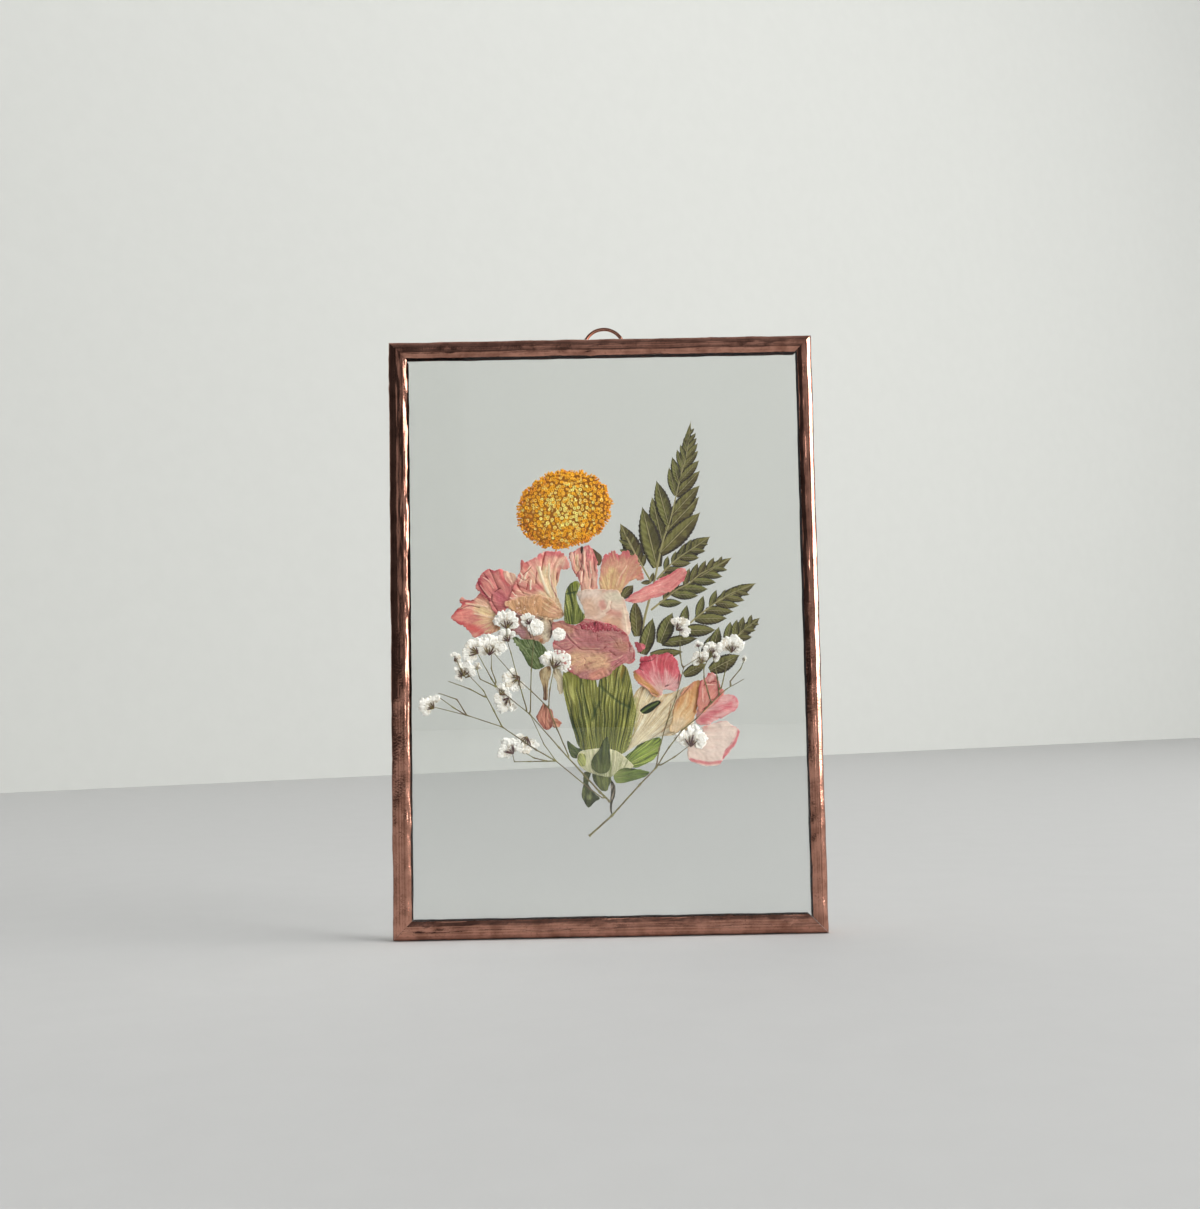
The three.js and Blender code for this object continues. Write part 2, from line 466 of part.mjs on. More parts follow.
function addFern(parent) {
  const rachis = [[10, -6], [12, 4.5], [15, 15], [18, 27.5], [20.5, 34.5], [23.5, 46], [26, 55], [27.5, 64.7]];
  const frondTips = [[27, 62.5], [26, 61], [25, 59.3], [24, 57.5], [23, 56], [21.5, 53.7], [20.4, 50.5],
    [16.5, 46.5], [15, 41.5], [12, 38.5], [28.4, 62.5], [28.9, 61], [29.1, 59.5], [29.4, 57.8], [29.5, 55.5],
    [29.7, 52.5], [29.9, 49.3], [29.7, 44.8], [29.5, 41.3], [29.7, 36.5]];
  addSpray(parent, 'fern_frond', 0, rachis, frondTips, {
    lean: 30, slender: 0.34, blade: [0.9, 0.9, 0.8, 0.8, 0.8, 1, 4, 4.5, 3.6, 2.4, 0.3],
  });
  const blade = [1, 1.4, 1.8, 2.6, 4.4, 4.6, 3, 0.3];
  const sprays = [
    ['fern_pinna_left', 1, [[14.2, 15.5], [11, 21.5], [8, 27], [5.2, 33.5]],
      [[4.7, 31], [4.6, 28.5], [4.8, 25.5], [7.6, 31.5], [9.3, 29.5], [11, 27], [12.6, 24], [15, 18.4], [11, 15.2]],
      45, 0.5, [1.2, 1.6, 2.6, 4.6, 5.6, 5.2, 3.2, 0.3]],
    ['fern_pinna_1', 1, [[16, 16.2], [19.5, 20], [24, 23.5], [32.5, 29]],
      [[19.5, 23.3], [22, 24.7], [24.7, 27], [26.7, 28.3], [28.8, 28.7], [31.8, 26.6], [31, 24.6], [29, 22.6],
        [26.5, 21], [24, 19.2], [21, 17.7]], 38, 0.5, [1, 2, 3, 4.4, 5, 5, 3.6, 0.3]],
    ['fern_pinna_2', 0, [[14, 6.9], [18, 10], [22, 13], [26, 15], [29, 17.5], [34, 20], [39, 22.5]],
      [[23.5, 9], [28.5, 11], [31.5, 13], [34, 15], [36, 16.7], [37.5, 18.7], [20, 15.5], [23, 18], [26, 19.5],
        [28.5, 21], [31, 21.8], [33.5, 22.6], [36, 23]], 38, 0.46, blade],
    ['fern_pinna_3', 1, [[23, 0.5], [28.5, 5], [32.5, 8], [35.5, 10], [39.5, 12], [46, 14.5]],
      [[25, 8.3], [30, 11], [34, 12.7], [36.7, 12.8], [38.8, 13.3], [41.5, 14.2], [33.5, 0.5], [37, 4], [39, 6],
        [40.7, 7.7], [42.5, 9.3], [44, 11]], 36, 0.46, blade],
    ['fern_pinna_4', 0, [[28, -10], [35, -5.5], [39, -2.5], [42, 0.5], [47, 4]],
      [[32.5, -0.6], [34.5, 1.5], [38, 3], [40, 3.6], [42, 4.5], [44.5, 5], [46.7, 2], [45.6, 0.2],
        [44.5, -1.8], [41.8, -3.4]], 40, 0.5, [1, 2, 2.4, 3, 4.4, 4.8, 3.6, 1]],
  ];
  for (const [name, layer, rib, tips, lean, slender, widths] of sprays) {
    addSpray(parent, name, layer, rib, tips, { lean, slender, blade: widths });
  }
  const leaflets = [
    [1, [11.4, -6.5], [14.5, 4.5], 4.6],
    [1, [16.5, -3.2], [20.5, 6], 5],
    [0, [17, -3.2], [28, -1.9], 3.4],
    [0, [13.5, -6.6], [23.5, -5.9], 3],
    [1, [31.4, -11.8], [40.5, -7.2], 5],
    [1, [23.5, -13], [30.3, -9.6], 3.4],
    [0, [5.3, 10.9], [8.8, 14.6], 3.2],
    [1, [9.6, -1], [9.2, 10], 4.2],
  ];
  leaflets.forEach(([layer, [x0, z0], [x1, z1], breadth], i) => {
    const base = new THREE.Vector3(x0, 0, z0);
    const tip = new THREE.Vector3(x1, 0, z1);
    const mesh = new THREE.Mesh(fromSolid(toSolid(leaflet(base, tip, breadth, layer))), FERN_GREEN);
    mesh.name = `fern_leaflet_${i + 1}`;
    parent.add(mesh);
  });
}

// ---------------------------------------------------------------- baby's breath
// Stems are lines of [x, z] points from the base outwards; florets are [x, z, diameter].
const STEM_WIDE = 0.75;
const STEM_NARROW = 0.4;
const SPRIGS = {
  sprig_left: {
    stems: [
      [[0.5, -50.5], [-2.5, -47.5], [-7, -42.5], [-14.5, -34], [-23, -24], [-29, -19], [-33, -15.5]],
      [[-11.5, -37], [-15, -28.5], [-17.5, -22], [-22.5, -17], [-28, -12], [-33.5, -5.5]],
      [[-1.5, -49.5], [-5.5, -46.5], [-15.5, -38], [-19, -33], [-23, -24]],
      [[-15.5, -38], [-23.5, -38], [-28, -38], [-28.5, -35.5]],
      [[-18, -38], [-22, -37], [-24.5, -35.5]],
      [[-15.5, -38], [-21.5, -34.5], [-31.5, -27.5], [-41.5, -24], [-52.5, -21]],
      [[-31.5, -27.5], [-34, -22.5], [-37, -16.5], [-42.5, -10.5]],
      [[-24, -22.5], [-26.5, -13.5], [-28.5, -5.5], [-29.5, -2]],
      [[-23, -23.5], [-22.5, -10.5], [-21.5, -1.5]],
      [[-33, -15.5], [-38, -13], [-39, -9.5]],
      [[-36.5, -18.5], [-41, -16], [-47.5, -13.5]],
      [[-42, -24], [-45, -19], [-50.5, -17]],
      [[-42, -24], [-46, -21.5], [-50, -18.5]],
      [[-33, -15.5], [-34.5, -13], [-38.5, -5.5]],
      [[-33, -14.5], [-34.5, -10], [-34.5, -5.5]],
      [[-17.5, -22], [-17, -16.5], [-15.5, -9.5]],
      [[-42, -13], [-43.5, -10.5], [-45, -7]],
    ],
    florets: [[-54, -20, 4.8], [-41, -4, 5.2], [-35, -2.5, 6], [-42.5, -9.5, 4.6], [-44.5, -6.5, 2.8],
      [-30.5, 0, 4], [-29.5, 5, 6], [-29.5, -15, 6.4], [-31, -20.5, 4.8], [-30, -33.5, 4.8],
      [-25, -33.5, 5.2], [-21, 2.5, 6.6], [-14, 0, 4.2], [-14.5, -7, 6.6], [-44.5, -12.5, 2.2],
      [-39, -9, 2.2]],
  },
  sprig_right: {
    stems: [
      [[-6, -60.5], [1, -54.5], [9.5, -45.5], [14.5, -40.5], [15.5, -35], [18, -27], [21, -19.5],
        [23.5, -10.5], [28.5, -7.5]],
      [[14.5, -40.5], [18.5, -34.5], [22.5, -29.5], [27, -26], [31.5, -21.5], [36, -17.5], [41.5, -14.5]],
      [[37, -15.5], [40.5, -11.5], [42, -8.5]],
      [[15.5, -40], [20, -37.5], [25.5, -33.5]],
      [[23, -10.5], [22.5, -7], [22.5, 1]],
      [[31.5, -21.5], [29.5, -14], [29.5, -11], [32, -6]],
      [[34, -19.5], [33.5, -14], [32, -6]],
      [[34.5, -17.5], [36.5, -10], [38, -5]],
    ],
    florets: [[26, -31, 6.6], [23.5, 2, 4.6], [32, -4.5, 4], [28, -7.5, 4], [38, -3.5, 5.2], [28, -3.5, 2.2],
      [33.5, -7.5, 2.2], [42, -8.5, 1.8]],
  },
};

function nearestPoint(lines, target) {
  return lines.flat().reduce((best, point) => (
    point.distanceTo(target) < best.distanceTo(target) ? point : best
  ));
}

function floret([x, z, diameter], turn, layer) {
  const sides = 10;
  const points = Array.from({ length: sides }, (_, i) => {
    const angle = (2 * Math.PI * i) / sides;
    const radius = diameter / 2 * (0.86 + 0.14 * Math.sin(5 * angle + turn));
    return new THREE.Vector3(x + radius * Math.cos(angle), 0, z + radius * Math.sin(angle));
  });
  return plate(points, layer);
}

// Every branch starts on a stem before it, and every floret has a stalk to the nearest stem.
function addSprig(parent, name) {
  const { stems, florets } = SPRIGS[name];
  const layer = LAYER_COUNT - 1;
  const lines = [];
  const pieces = [];
  for (const stem of stems) {
    const line = spacedLine(stem, stem.length);
    if (lines.length > 0) {
      line[0] = nearestPoint(lines, line[0]);
    }
    pieces.push(strip(line, [STEM_WIDE, STEM_NARROW], layer));
    lines.push(spacedLine(line.map((point) => [point.x, point.z]), 40));
  }
  florets.forEach((spot, i) => {
    const centre = new THREE.Vector3(spot[0], 0, spot[1]);
    pieces.push(strip([nearestPoint(lines, centre), centre], [STEM_NARROW, STEM_NARROW], layer));
    pieces.push(floret(spot, i * 1.3, layer));
  });
  const sprig = new THREE.Mesh(fuse(pieces), SPRIG_WHITE);
  sprig.name = name;
  parent.add(sprig);
}

// ---------------------------------------------------------------- the whole frame
function addBouquet(parent) {
  addFern(parent);
  for (const [name, layer, material, outline] of PETALS) {
    addSheet(parent, name, layer, material, outline, { frill: FRILL });
  }
  addSheet(parent, 'petal_cream_fan', 2, CREAM, CREAM_FAN, { hole: CREAM_FAN_GAP });
  for (const [name, layer, material, outline] of GREENS) {
    addSheet(parent, name, layer, material, outline, { spacing: 1.8 });
  }
  addHead(parent);
  for (const name of Object.keys(SPRIGS)) {
    addSprig(parent, name);
  }
}

const frame = new THREE.Group();
addRim(frame);
addPane(frame, 'front_pane', -1);
addPane(frame, 'back_pane', 1);
addHangingLoop(frame);
addBouquet(frame);
frame.position.set(-LOOP_X, -LOOP_Y, -(LOOP_CENTRE_Z + LOOP_INNER_RADIUS));

const group = new THREE.Group();
group.add(frame);
export default group;
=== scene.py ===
import math
import random

import bmesh
import bpy
import numpy as np
from mathutils import Matrix, Vector, geometry, noise


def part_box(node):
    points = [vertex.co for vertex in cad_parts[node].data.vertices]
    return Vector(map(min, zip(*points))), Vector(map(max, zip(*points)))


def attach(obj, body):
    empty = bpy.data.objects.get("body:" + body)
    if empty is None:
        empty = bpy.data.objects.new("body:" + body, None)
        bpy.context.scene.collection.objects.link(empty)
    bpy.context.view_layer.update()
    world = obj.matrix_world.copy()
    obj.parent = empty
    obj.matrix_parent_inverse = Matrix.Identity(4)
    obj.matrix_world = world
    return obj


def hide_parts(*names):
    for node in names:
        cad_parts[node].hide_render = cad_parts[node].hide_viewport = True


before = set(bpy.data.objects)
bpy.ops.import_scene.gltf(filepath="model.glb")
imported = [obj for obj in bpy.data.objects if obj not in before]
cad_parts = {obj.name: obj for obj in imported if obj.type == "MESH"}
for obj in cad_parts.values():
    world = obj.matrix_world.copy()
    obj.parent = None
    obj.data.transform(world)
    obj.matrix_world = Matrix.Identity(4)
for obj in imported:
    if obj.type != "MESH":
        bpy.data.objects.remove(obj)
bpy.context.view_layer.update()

bl_info = {
    "name": "Pressed Flower Frame",
    "version": (1, 0, 0),
    "blender": (4, 5, 0),
    "location": "View3D > Sidebar > Pressed Flowers",
    "description": "Models a bouquet pressed between two panes of glass in a hand-laid copper rim",
    "category": "Object",
}

# Everything below is in millimetres from the middle of the frame, [x, z] seen from the front,
# and becomes metres in the row frame in `metres`.
MM = 0.001
WELD = 1e-6  # metres between corners of a CAD mesh that are one corner
FRONT_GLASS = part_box("front_pane")
BACK_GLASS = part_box("back_pane")
MIDDLE = Vector((
    (FRONT_GLASS[0].x + FRONT_GLASS[1].x) / 2,
    (FRONT_GLASS[1].y + BACK_GLASS[0].y) / 2,
    (FRONT_GLASS[0].z + FRONT_GLASS[1].z) / 2,
))
HALF_GAP = (BACK_GLASS[0].y - FRONT_GLASS[1].y) / 2 / MM
FRAME_HALF_WIDTH = (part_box("rim_right")[1].x - MIDDLE.x) / MM
FRAME_HALF_HEIGHT = (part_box("rim_top")[1].z - MIDDLE.z) / MM
GLASS_FRONT = (MIDDLE.y - FRONT_GLASS[0].y) / MM
RIM_HALF_DEPTH = (MIDDLE.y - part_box("rim_top")[0].y) / MM
FRONT_LAYER_DEPTH = -0.75  # the bouquet lies in six layers, and this is the frontmost
# Room left beside the inner faces of the glass: by foil and sheets, by squeezed flowers, by anything.
SHEET_ROOM, SQUEEZE_ROOM, LEAST_ROOM = 0.06, 0.05, 0.02


def middle_depth(node):
    """Depth of the middle of a CAD piece."""
    low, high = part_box(node)
    return ((low.y + high.y) / 2 - MIDDLE.y) / MM


def metres(x, y, z):
    """Arrays or numbers in millimetres from the middle of the frame, as an array in metres."""
    spots = np.stack(np.broadcast_arrays(x, y, z), axis=-1)
    return spots * MM + np.array(MIDDLE)


def srgb(red, green, blue):
    """A linear colour with alpha from display values between 0 and 255."""
    shares = (red / 255, green / 255, blue / 255)
    return (*(s / 12.92 if s <= 0.04045 else ((s + 0.055) / 1.055) ** 2.4 for s in shares), 1.0)


# ---------------------------------------------------------------- settings
def colour_setting(name, description, *display):
    """A colour, given by its display values between 0 and 255."""
    return bpy.props.FloatVectorProperty(
        name=name, description=description, subtype="COLOR", size=4, min=0, max=1, default=srgb(*display))


def size_setting(name, description, millimetres):
    """A length that Blender shows in the scene's units."""
    return bpy.props.FloatProperty(
        name=name, description=description, default=millimetres * MM, min=0, unit="LENGTH", precision=5)


class RimSettings(bpy.types.PropertyGroup):
    wrinkle: size_setting("Wrinkle depth", "Depth of the lengthwise wrinkles in the foil", 0.032)
    lump: size_setting("Lump depth", "Height of the slow unevenness of the bead", 0.16)
    pit: size_setting("Pit depth", "Depth of the small pits and grains", 0.045)
    colour: colour_setting("Copper", "Colour of the clean foil", 200, 146, 126)
    tarnish: colour_setting("Tarnish", "Colour of the darker patches", 96, 54, 40)


class GlassSettings(bpy.types.PropertyGroup):
    tint: colour_setting("Tint", "Colour of the glass", 248, 249, 248)
    ior: bpy.props.FloatProperty(name="IOR", description="Index of refraction", default=1.5, min=1, max=2)


class HeadSettings(bpy.types.PropertyGroup):
    pitch: size_setting("Floret pitch", "Distance between neighbouring florets", 1.12)
    gold: colour_setting("Gold", "Main colour of the florets", 244, 178, 20)
    pale: colour_setting("Pale", "Colour of the greenish open florets", 246, 236, 132)
    # Brown is painted shade between the florets, in their throats, on the core and on the dark rim.
    brown: colour_setting("Brown", "Colour between the florets and of the dark rim", 136, 76, 6)


class FernSettings(bpy.types.PropertyGroup):
    green: colour_setting("Green", "Colour of the leaf", 64, 62, 22)
    # Light is painted light: the lit half of each leaflet, broken by random blotches.
    light: colour_setting("Light", "Colour between the veins", 128, 128, 66)
    margin: colour_setting("Margin", "Colour of the dry margin", 32, 20, 8)
    rib: colour_setting("Rib", "Colour of the midribs", 164, 154, 104)


class PetalSettings(bpy.types.PropertyGroup):
    spacing: size_setting("Mesh spacing", "Distance between the points of a petal's surface", 0.25)
    thickness: size_setting("Thickness", "Thickness of a dry petal", 0.07)
    fold: size_setting("Fold depth", "Depth of the folds that run out from the base", 0.17)


class SprigSettings(bpy.types.PropertyGroup):
    stem: size_setting("Stem width", "Width of a main stem at its base", 0.6)
    twig: size_setting("Twig width", "Width of the thinnest stalks", 0.2)
    white: colour_setting("White", "Colour of the petals", 252, 249, 241)
    green: colour_setting("Stem green", "Colour of the stems", 112, 108, 52)
    maroon: colour_setting("Maroon", "Colour of the ribs of the calyx", 74, 34, 30)


class StageSettings(bpy.types.PropertyGroup):
    focal: bpy.props.FloatProperty(
        name="Focal length", description="Focal length over the width of the picture",
        default=1400 / 1200, min=0.3)
    wall: colour_setting("Wall", "Colour of the wall", 200, 201, 196)
    floor: colour_setting("Floor", "Colour of the floor", 181, 181, 179)
    key: bpy.props.FloatProperty(name="Key light", description="Power of the window light",
                                 default=80, min=0, unit="POWER")


# ---------------------------------------------------------------- object helpers
def only(piece):
    """Makes the piece the one that is selected and active."""
    bpy.ops.object.select_all(action="DESELECT")
    piece.select_set(True)
    bpy.context.view_layer.objects.active = piece


def new_piece(name, points, faces):
    """A mesh object from points in metres and lists of corners."""
    mesh = bpy.data.meshes.new(name)
    mesh.from_pydata([tuple(p) for p in points], [], [tuple(f) for f in faces])
    mesh.update()
    piece = bpy.data.objects.new(name, mesh)
    bpy.context.scene.collection.objects.link(piece)
    return piece


def set_attribute(piece, name, values):
    attribute = piece.data.attributes.new(name, "FLOAT", "POINT")
    attribute.data.foreach_set("value", np.asarray(values, np.float32))


def set_colour(piece, name, values):
    attribute = piece.data.attributes.new(name, "FLOAT_COLOR", "POINT")
    attribute.data.foreach_set("color", np.asarray(values, np.float32).ravel())


def set_uv(piece, per_vertex):
    """A UV map from one pair of coordinates for each vertex."""
    layer = piece.data.uv_layers.new(name="UVMap")
    corners = np.zeros(len(piece.data.loops), np.int32)
    piece.data.loops.foreach_get("vertex_index", corners)
    layer.data.foreach_set("uv", np.asarray(per_vertex, np.float32)[corners].ravel())


def coordinates(mesh):
    points = np.zeros(len(mesh.vertices) * 3, np.float32)
    mesh.vertices.foreach_get("co", points)
    return points.reshape(-1, 3).astype(float)


def set_coordinates(mesh, points):
    mesh.vertices.foreach_set("co", np.asarray(points, np.float32).ravel())
    mesh.update()


def apply_modifier(piece, kind, **values):
    """Adds a modifier with the given values and applies it."""
    only(piece)
    modifier = piece.modifiers.new(kind.title(), kind)
    for key, value in values.items():
        setattr(modifier, key, value)
    bpy.ops.object.modifier_apply(modifier=modifier.name)


def face_outwards(piece):
    only(piece)
    bpy.ops.object.mode_set(mode="EDIT")
    bpy.ops.mesh.select_all(action="SELECT")
    bpy.ops.mesh.normals_make_consistent(inside=False)
    bpy.ops.object.mode_set(mode="OBJECT")


def complete(piece, material, slot, *nodes, smooth=True):
    """Gives a finished piece its material and its place in the model."""
    piece.data.materials.clear()
    piece.data.materials.append(material)
    if smooth:
        piece.data.shade_smooth()
    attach(piece, "root")
    if nodes:
        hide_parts(*nodes)


def join(piece, *others):
    only(piece)
    for other in others:
        other.select_set(True)
    bpy.ops.object.join()


def grid_master(name, columns, rows):
    """A flat grid to shape, and how far along it (0 to 1) and across it (-1 to 1) each point is."""
    bpy.ops.object.select_all(action="DESELECT")
    bpy.ops.mesh.primitive_grid_add(x_subdivisions=columns, y_subdivisions=rows, size=2)
    piece = take_active(name)
    points = coordinates(piece.data)
    return piece, (points[:, 0] + 1) / 2, points[:, 1]


def take_active(name):
    """The object that an operator has just made, under its own name."""
    piece = bpy.context.object
    piece.name = name
    piece.data.name = name
    return piece


def repeated(name, master, places, values):
    """One mesh of many copies of a master mesh. `values` maps an attribute name to one value a copy."""
    source = coordinates(master)
    faces = [list(f.vertices) for f in master.polygons]
    points, polygons = [], []
    for number, place in enumerate(places):
        matrix = np.array(place)
        points.append(source @ matrix[:3, :3].T + matrix[:3, 3])
        polygons.extend([v + number * len(source) for v in face] for face in faces)
    piece = new_piece(name, np.concatenate(points), polygons)
    for key, each in values.items():
        set_attribute(piece, key, np.repeat(each, len(source)))
    for attribute in master.attributes:
        if attribute.domain == "POINT" and attribute.data_type == "FLOAT":
            each = [item.value for item in attribute.data]
            set_attribute(piece, attribute.name, np.tile(each, len(places)))
    return piece


class Making:
    """What the operators that make the pieces share."""
    bl_options = {"REGISTER", "UNDO"}


# ---------------------------------------------------------------- material helpers
class Finish:
    """A Principled material and short ways to add nodes to it."""

    def __init__(self, name, **sockets):
        self.material = bpy.data.materials.new(name)
        self.material.use_nodes = True
        self.tree = self.material.node_tree
        self.shader = self.tree.nodes["Principled BSDF"]
        for socket, value in sockets.items():
            self.shader.inputs[socket.replace("_", " ")].default_value = value

    def node(self, kind, values=(), **settings):
        node = self.tree.nodes.new(kind)
        for key, value in settings.items():
            setattr(node, key, value)
        for key, value in dict(values).items():
            if isinstance(value, bpy.types.NodeSocket):
                self.tree.links.new(value, node.inputs[key])
            else:
                node.inputs[key].default_value = value
        return node

    def attribute(self, name, output="Fac"):
        return self.node("ShaderNodeAttribute", attribute_name=name).outputs[output]

    def place(self, output="Object"):
        return self.node("ShaderNodeTexCoord").outputs[output]

    def scaled(self, vector, scale):
        return self.node("ShaderNodeMapping", {"Vector": vector, "Scale": scale}).outputs["Vector"]

    def noise(self, vector, scale, detail=3.0, roughness=0.55):
        return self.node("ShaderNodeTexNoise", {
            "Vector": vector, "Scale": scale, "Detail": detail, "Roughness": roughness}).outputs["Fac"]

    def ridges(self, vector, scale, detail=3.0):
        """Noise folded into sharp lines, 1 along each line."""
        centred = self.sum(self.noise(vector, scale, detail), -0.5)
        away = self.node("ShaderNodeMath", {0: centred}, operation="ABSOLUTE").outputs[0]
        return self.sum(self.product(away, -4.0), 1.0, clamp=True)

    def sum(self, *terms, operation="ADD", clamp=False):
        total = terms[0]
        for term in terms[1:]:
            total = self.node("ShaderNodeMath", {0: total, 1: term}, operation=operation,
                              use_clamp=clamp).outputs[0]
        return total

    def product(self, *terms):
        return self.sum(*terms, operation="MULTIPLY")

    def span(self, value, low, high, start=0.0, end=1.0):
        """Value from low..high spread smoothly over start..end."""
        return self.node("ShaderNodeMapRange", {
            "Value": value, "From Min": low, "From Max": high, "To Min": start, "To Max": end},
            interpolation_type="SMOOTHSTEP").outputs["Result"]

    def mix(self, factor, first, second, blend="MIX"):
        return self.node("ShaderNodeMix", {0: factor, 6: first, 7: second},
                         data_type="RGBA", blend_type=blend).outputs[2]

    def ramp(self, factor, *stops):
        node = self.node("ShaderNodeValToRGB", {"Fac": factor})
        elements = node.color_ramp.elements
        while len(elements) < len(stops):
            elements.new(0.5)
        for element, (position, colour) in zip(elements, stops):
            element.position = position
            element.color = colour
        return node.outputs["Color"]

    def bump(self, height, strength, distance):
        node = self.node("ShaderNodeBump", {
            "Height": height, "Strength": strength, "Distance": distance * MM})
        self.use("Normal", node.outputs["Normal"])

    def use(self, socket, value):
        self.tree.links.new(value, self.shader.inputs[socket])


# ---------------------------------------------------------------- shapes in the plane of the glass
def even_curve(points, spacing, closed):
    """A smooth curve through the points, as points an even distance apart."""
    knots = np.array(points, float)
    if closed:
        before, after, last = np.roll(knots, 1, 0), np.roll(knots, -1, 0), np.roll(knots, -2, 0)
    else:
        padded = np.vstack([2 * knots[0] - knots[1], knots, 2 * knots[-1] - knots[-2]])
        before, knots, after, last = padded[:-3], padded[1:-2], padded[2:-1], padded[3:]
    dense = []
    for t in np.linspace(0, 1, 12, endpoint=False):
        dense.append(0.5 * (2 * knots + (after - before) * t
                            + (2 * before - 5 * knots + 4 * after - last) * t ** 2
                            + (3 * knots - before - 3 * after + last) * t ** 3))
    line = np.stack(dense, axis=1).reshape(-1, 2)
    line = np.vstack([line, line[:1] if closed else after[-1:]])
    run = np.concatenate([[0], np.cumsum(np.linalg.norm(np.diff(line, axis=0), axis=1))])
    count = max(8 if closed else 2, round(run[-1] / spacing))
    stops = np.linspace(0, run[-1], count, endpoint=not closed)
    return np.stack([np.interp(stops, run, line[:, k]) for k in (0, 1)], axis=1)


def frilled(loop, look, seed):
    """The edge of a loop broken into small uneven waves, with teeth on its outer part."""
    along = np.roll(loop, -1, 0) - np.roll(loop, 1, 0)
    along /= np.linalg.norm(along, axis=1)[:, None] + 1e-9
    outward = np.stack([along[:, 1], -along[:, 0]], axis=1)
    area = np.sum(loop[:, 0] * np.roll(loop[:, 1], -1) - np.roll(loop[:, 0], -1) * loop[:, 1])
    reach = np.linalg.norm(loop - np.array(look["base"]), axis=1)
    outer = np.clip((reach / reach.max() - 0.55) / 0.2, 0, 1)
    run = np.cumsum(np.linalg.norm(loop - np.roll(loop, 1, 0), axis=1))
    uneven = np.array([noise.noise(Vector((t / 2.2, 0.5, seed))) for t in run])
    tooth = np.abs(2 * ((run / look["tooth_pitch"] + 1.2 * uneven) % 1) - 1)
    waves = np.array([noise.noise(Vector((x / 0.55, z / 0.55, seed))) for x, z in loop])
    step = look["frill"] * waves - look["teeth"] * tooth * outer * (0.6 + uneven)
    return loop + outward * (np.sign(area) * step)[:, None]


def inside(points, loops):
    """True for each point that is inside the loops, with loops in loops as holes."""
    crossings = np.zeros(len(points), int)
    x, z = points[:, 0], points[:, 1]
    for loop in loops:
        for (x0, z0), (x1, z1) in zip(loop, np.roll(loop, -1, 0)):
            if z0 != z1:
                spans = (z0 > z) != (z1 > z)
                crossings += spans & (x < (x1 - x0) * (z - z0) / (z1 - z0) + x0)
    return crossings % 2 == 1


def distance_to(points, line, closed=False):
    """How far each point is from a line through the given corners."""
    best = np.full(len(points), 1e9)
    ends = np.roll(line, -1, 0) if closed else line[1:]
    for start, end in zip(line, ends):
        along = end - start
        t = np.clip(((points - start) @ along) / max(along @ along, 1e-12), 0, 1)
        best = np.minimum(best, np.linalg.norm(points - start - t[:, None] * along, axis=1))
    return best


def filled(loops, spacing, seed):
    """Points and triangles that fill the loops with an even mesh."""
    edge_points = np.vstack(loops)
    low, high = edge_points.min(0), edge_points.max(0)
    rows = np.arange(low[1], high[1], spacing * 0.866)
    columns = np.arange(low[0], high[0], spacing)
    grid = np.array([(x + (spacing / 2 if i % 2 else 0), z) for i, z in enumerate(rows) for x in columns])
    grid += np.random.default_rng(seed).uniform(-0.12, 0.12, grid.shape) * spacing
    grid = grid[inside(grid, loops)]
    margin = np.min([distance_to(grid, loop, True) for loop in loops], axis=0)
    grid = grid[margin > spacing * 0.55]
    edges, start = [], 0
    for loop in loops:
        edges += [(start + i, start + (i + 1) % len(loop)) for i in range(len(loop))]
        start += len(loop)
    made = geometry.delaunay_2d_cdt([Vector(p) for p in np.vstack([edge_points, grid])], edges, [], 0, 1e-5)
    points = np.array([tuple(p) for p in made[0]])
    triangles = np.array([f for f in made[2] if len(f) == 3])
    triangles = triangles[inside(points[triangles].mean(1), loops)]
    used = np.unique(triangles)
    renumber = np.zeros(len(points), int)
    renumber[used] = np.arange(len(used))
    return points[used], renumber[triangles]


def cad_outline(node):
    """The closed front outlines of a flat CAD piece and the depth of its middle."""
    shape = bmesh.new()
    shape.from_mesh(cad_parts[node].data)
    bmesh.ops.remove_doubles(shape, verts=shape.verts, dist=WELD)
    following = {}
    for face in shape.faces:
        if face.normal.y < -0.9:
            for corner in face.loops:
                others = [f for f in corner.edge.link_faces if f is not face]
                if all(f.normal.y > -0.9 for f in others):
                    following[corner.vert.index] = corner.link_loop_next.vert.index
    spots = {v.index: ((v.co.x - MIDDLE.x) / MM, (v.co.z - MIDDLE.z) / MM) for v in shape.verts}
    shape.free()
    loops = []
    while following:
        first, at = following.popitem()
        loop = [spots[first]]
        while at != first:
            loop.append(spots[at])
            at = following.pop(at)
        loops.append(np.array(loop))
    return loops, middle_depth(node)


def noise_field(points, seed):
    """Smooth noise at points in the plane or in space."""
    if points.shape[1] == 2:
        return np.array([noise.noise(Vector((x, z, seed))) for x, z in points])
    return np.array([noise.noise(Vector((x + 17.3 * seed, y, z))) for x, y, z in points])


def ridged(values):
    """Noise folded into sharp ridges, 1 on the crest."""
    return 1 - 3 * np.abs(values)


def fan_coordinates(points, base):
    """How far each point is round the fan and out from its base, in millimetres."""
    out = points - np.array(base)
    heading = out.mean(0) / np.linalg.norm(out.mean(0))
    reach = np.linalg.norm(out, axis=1)
    turn = np.arctan2(out @ np.array([-heading[1], heading[0]]), out @ heading)
    return turn * np.median(reach), reach


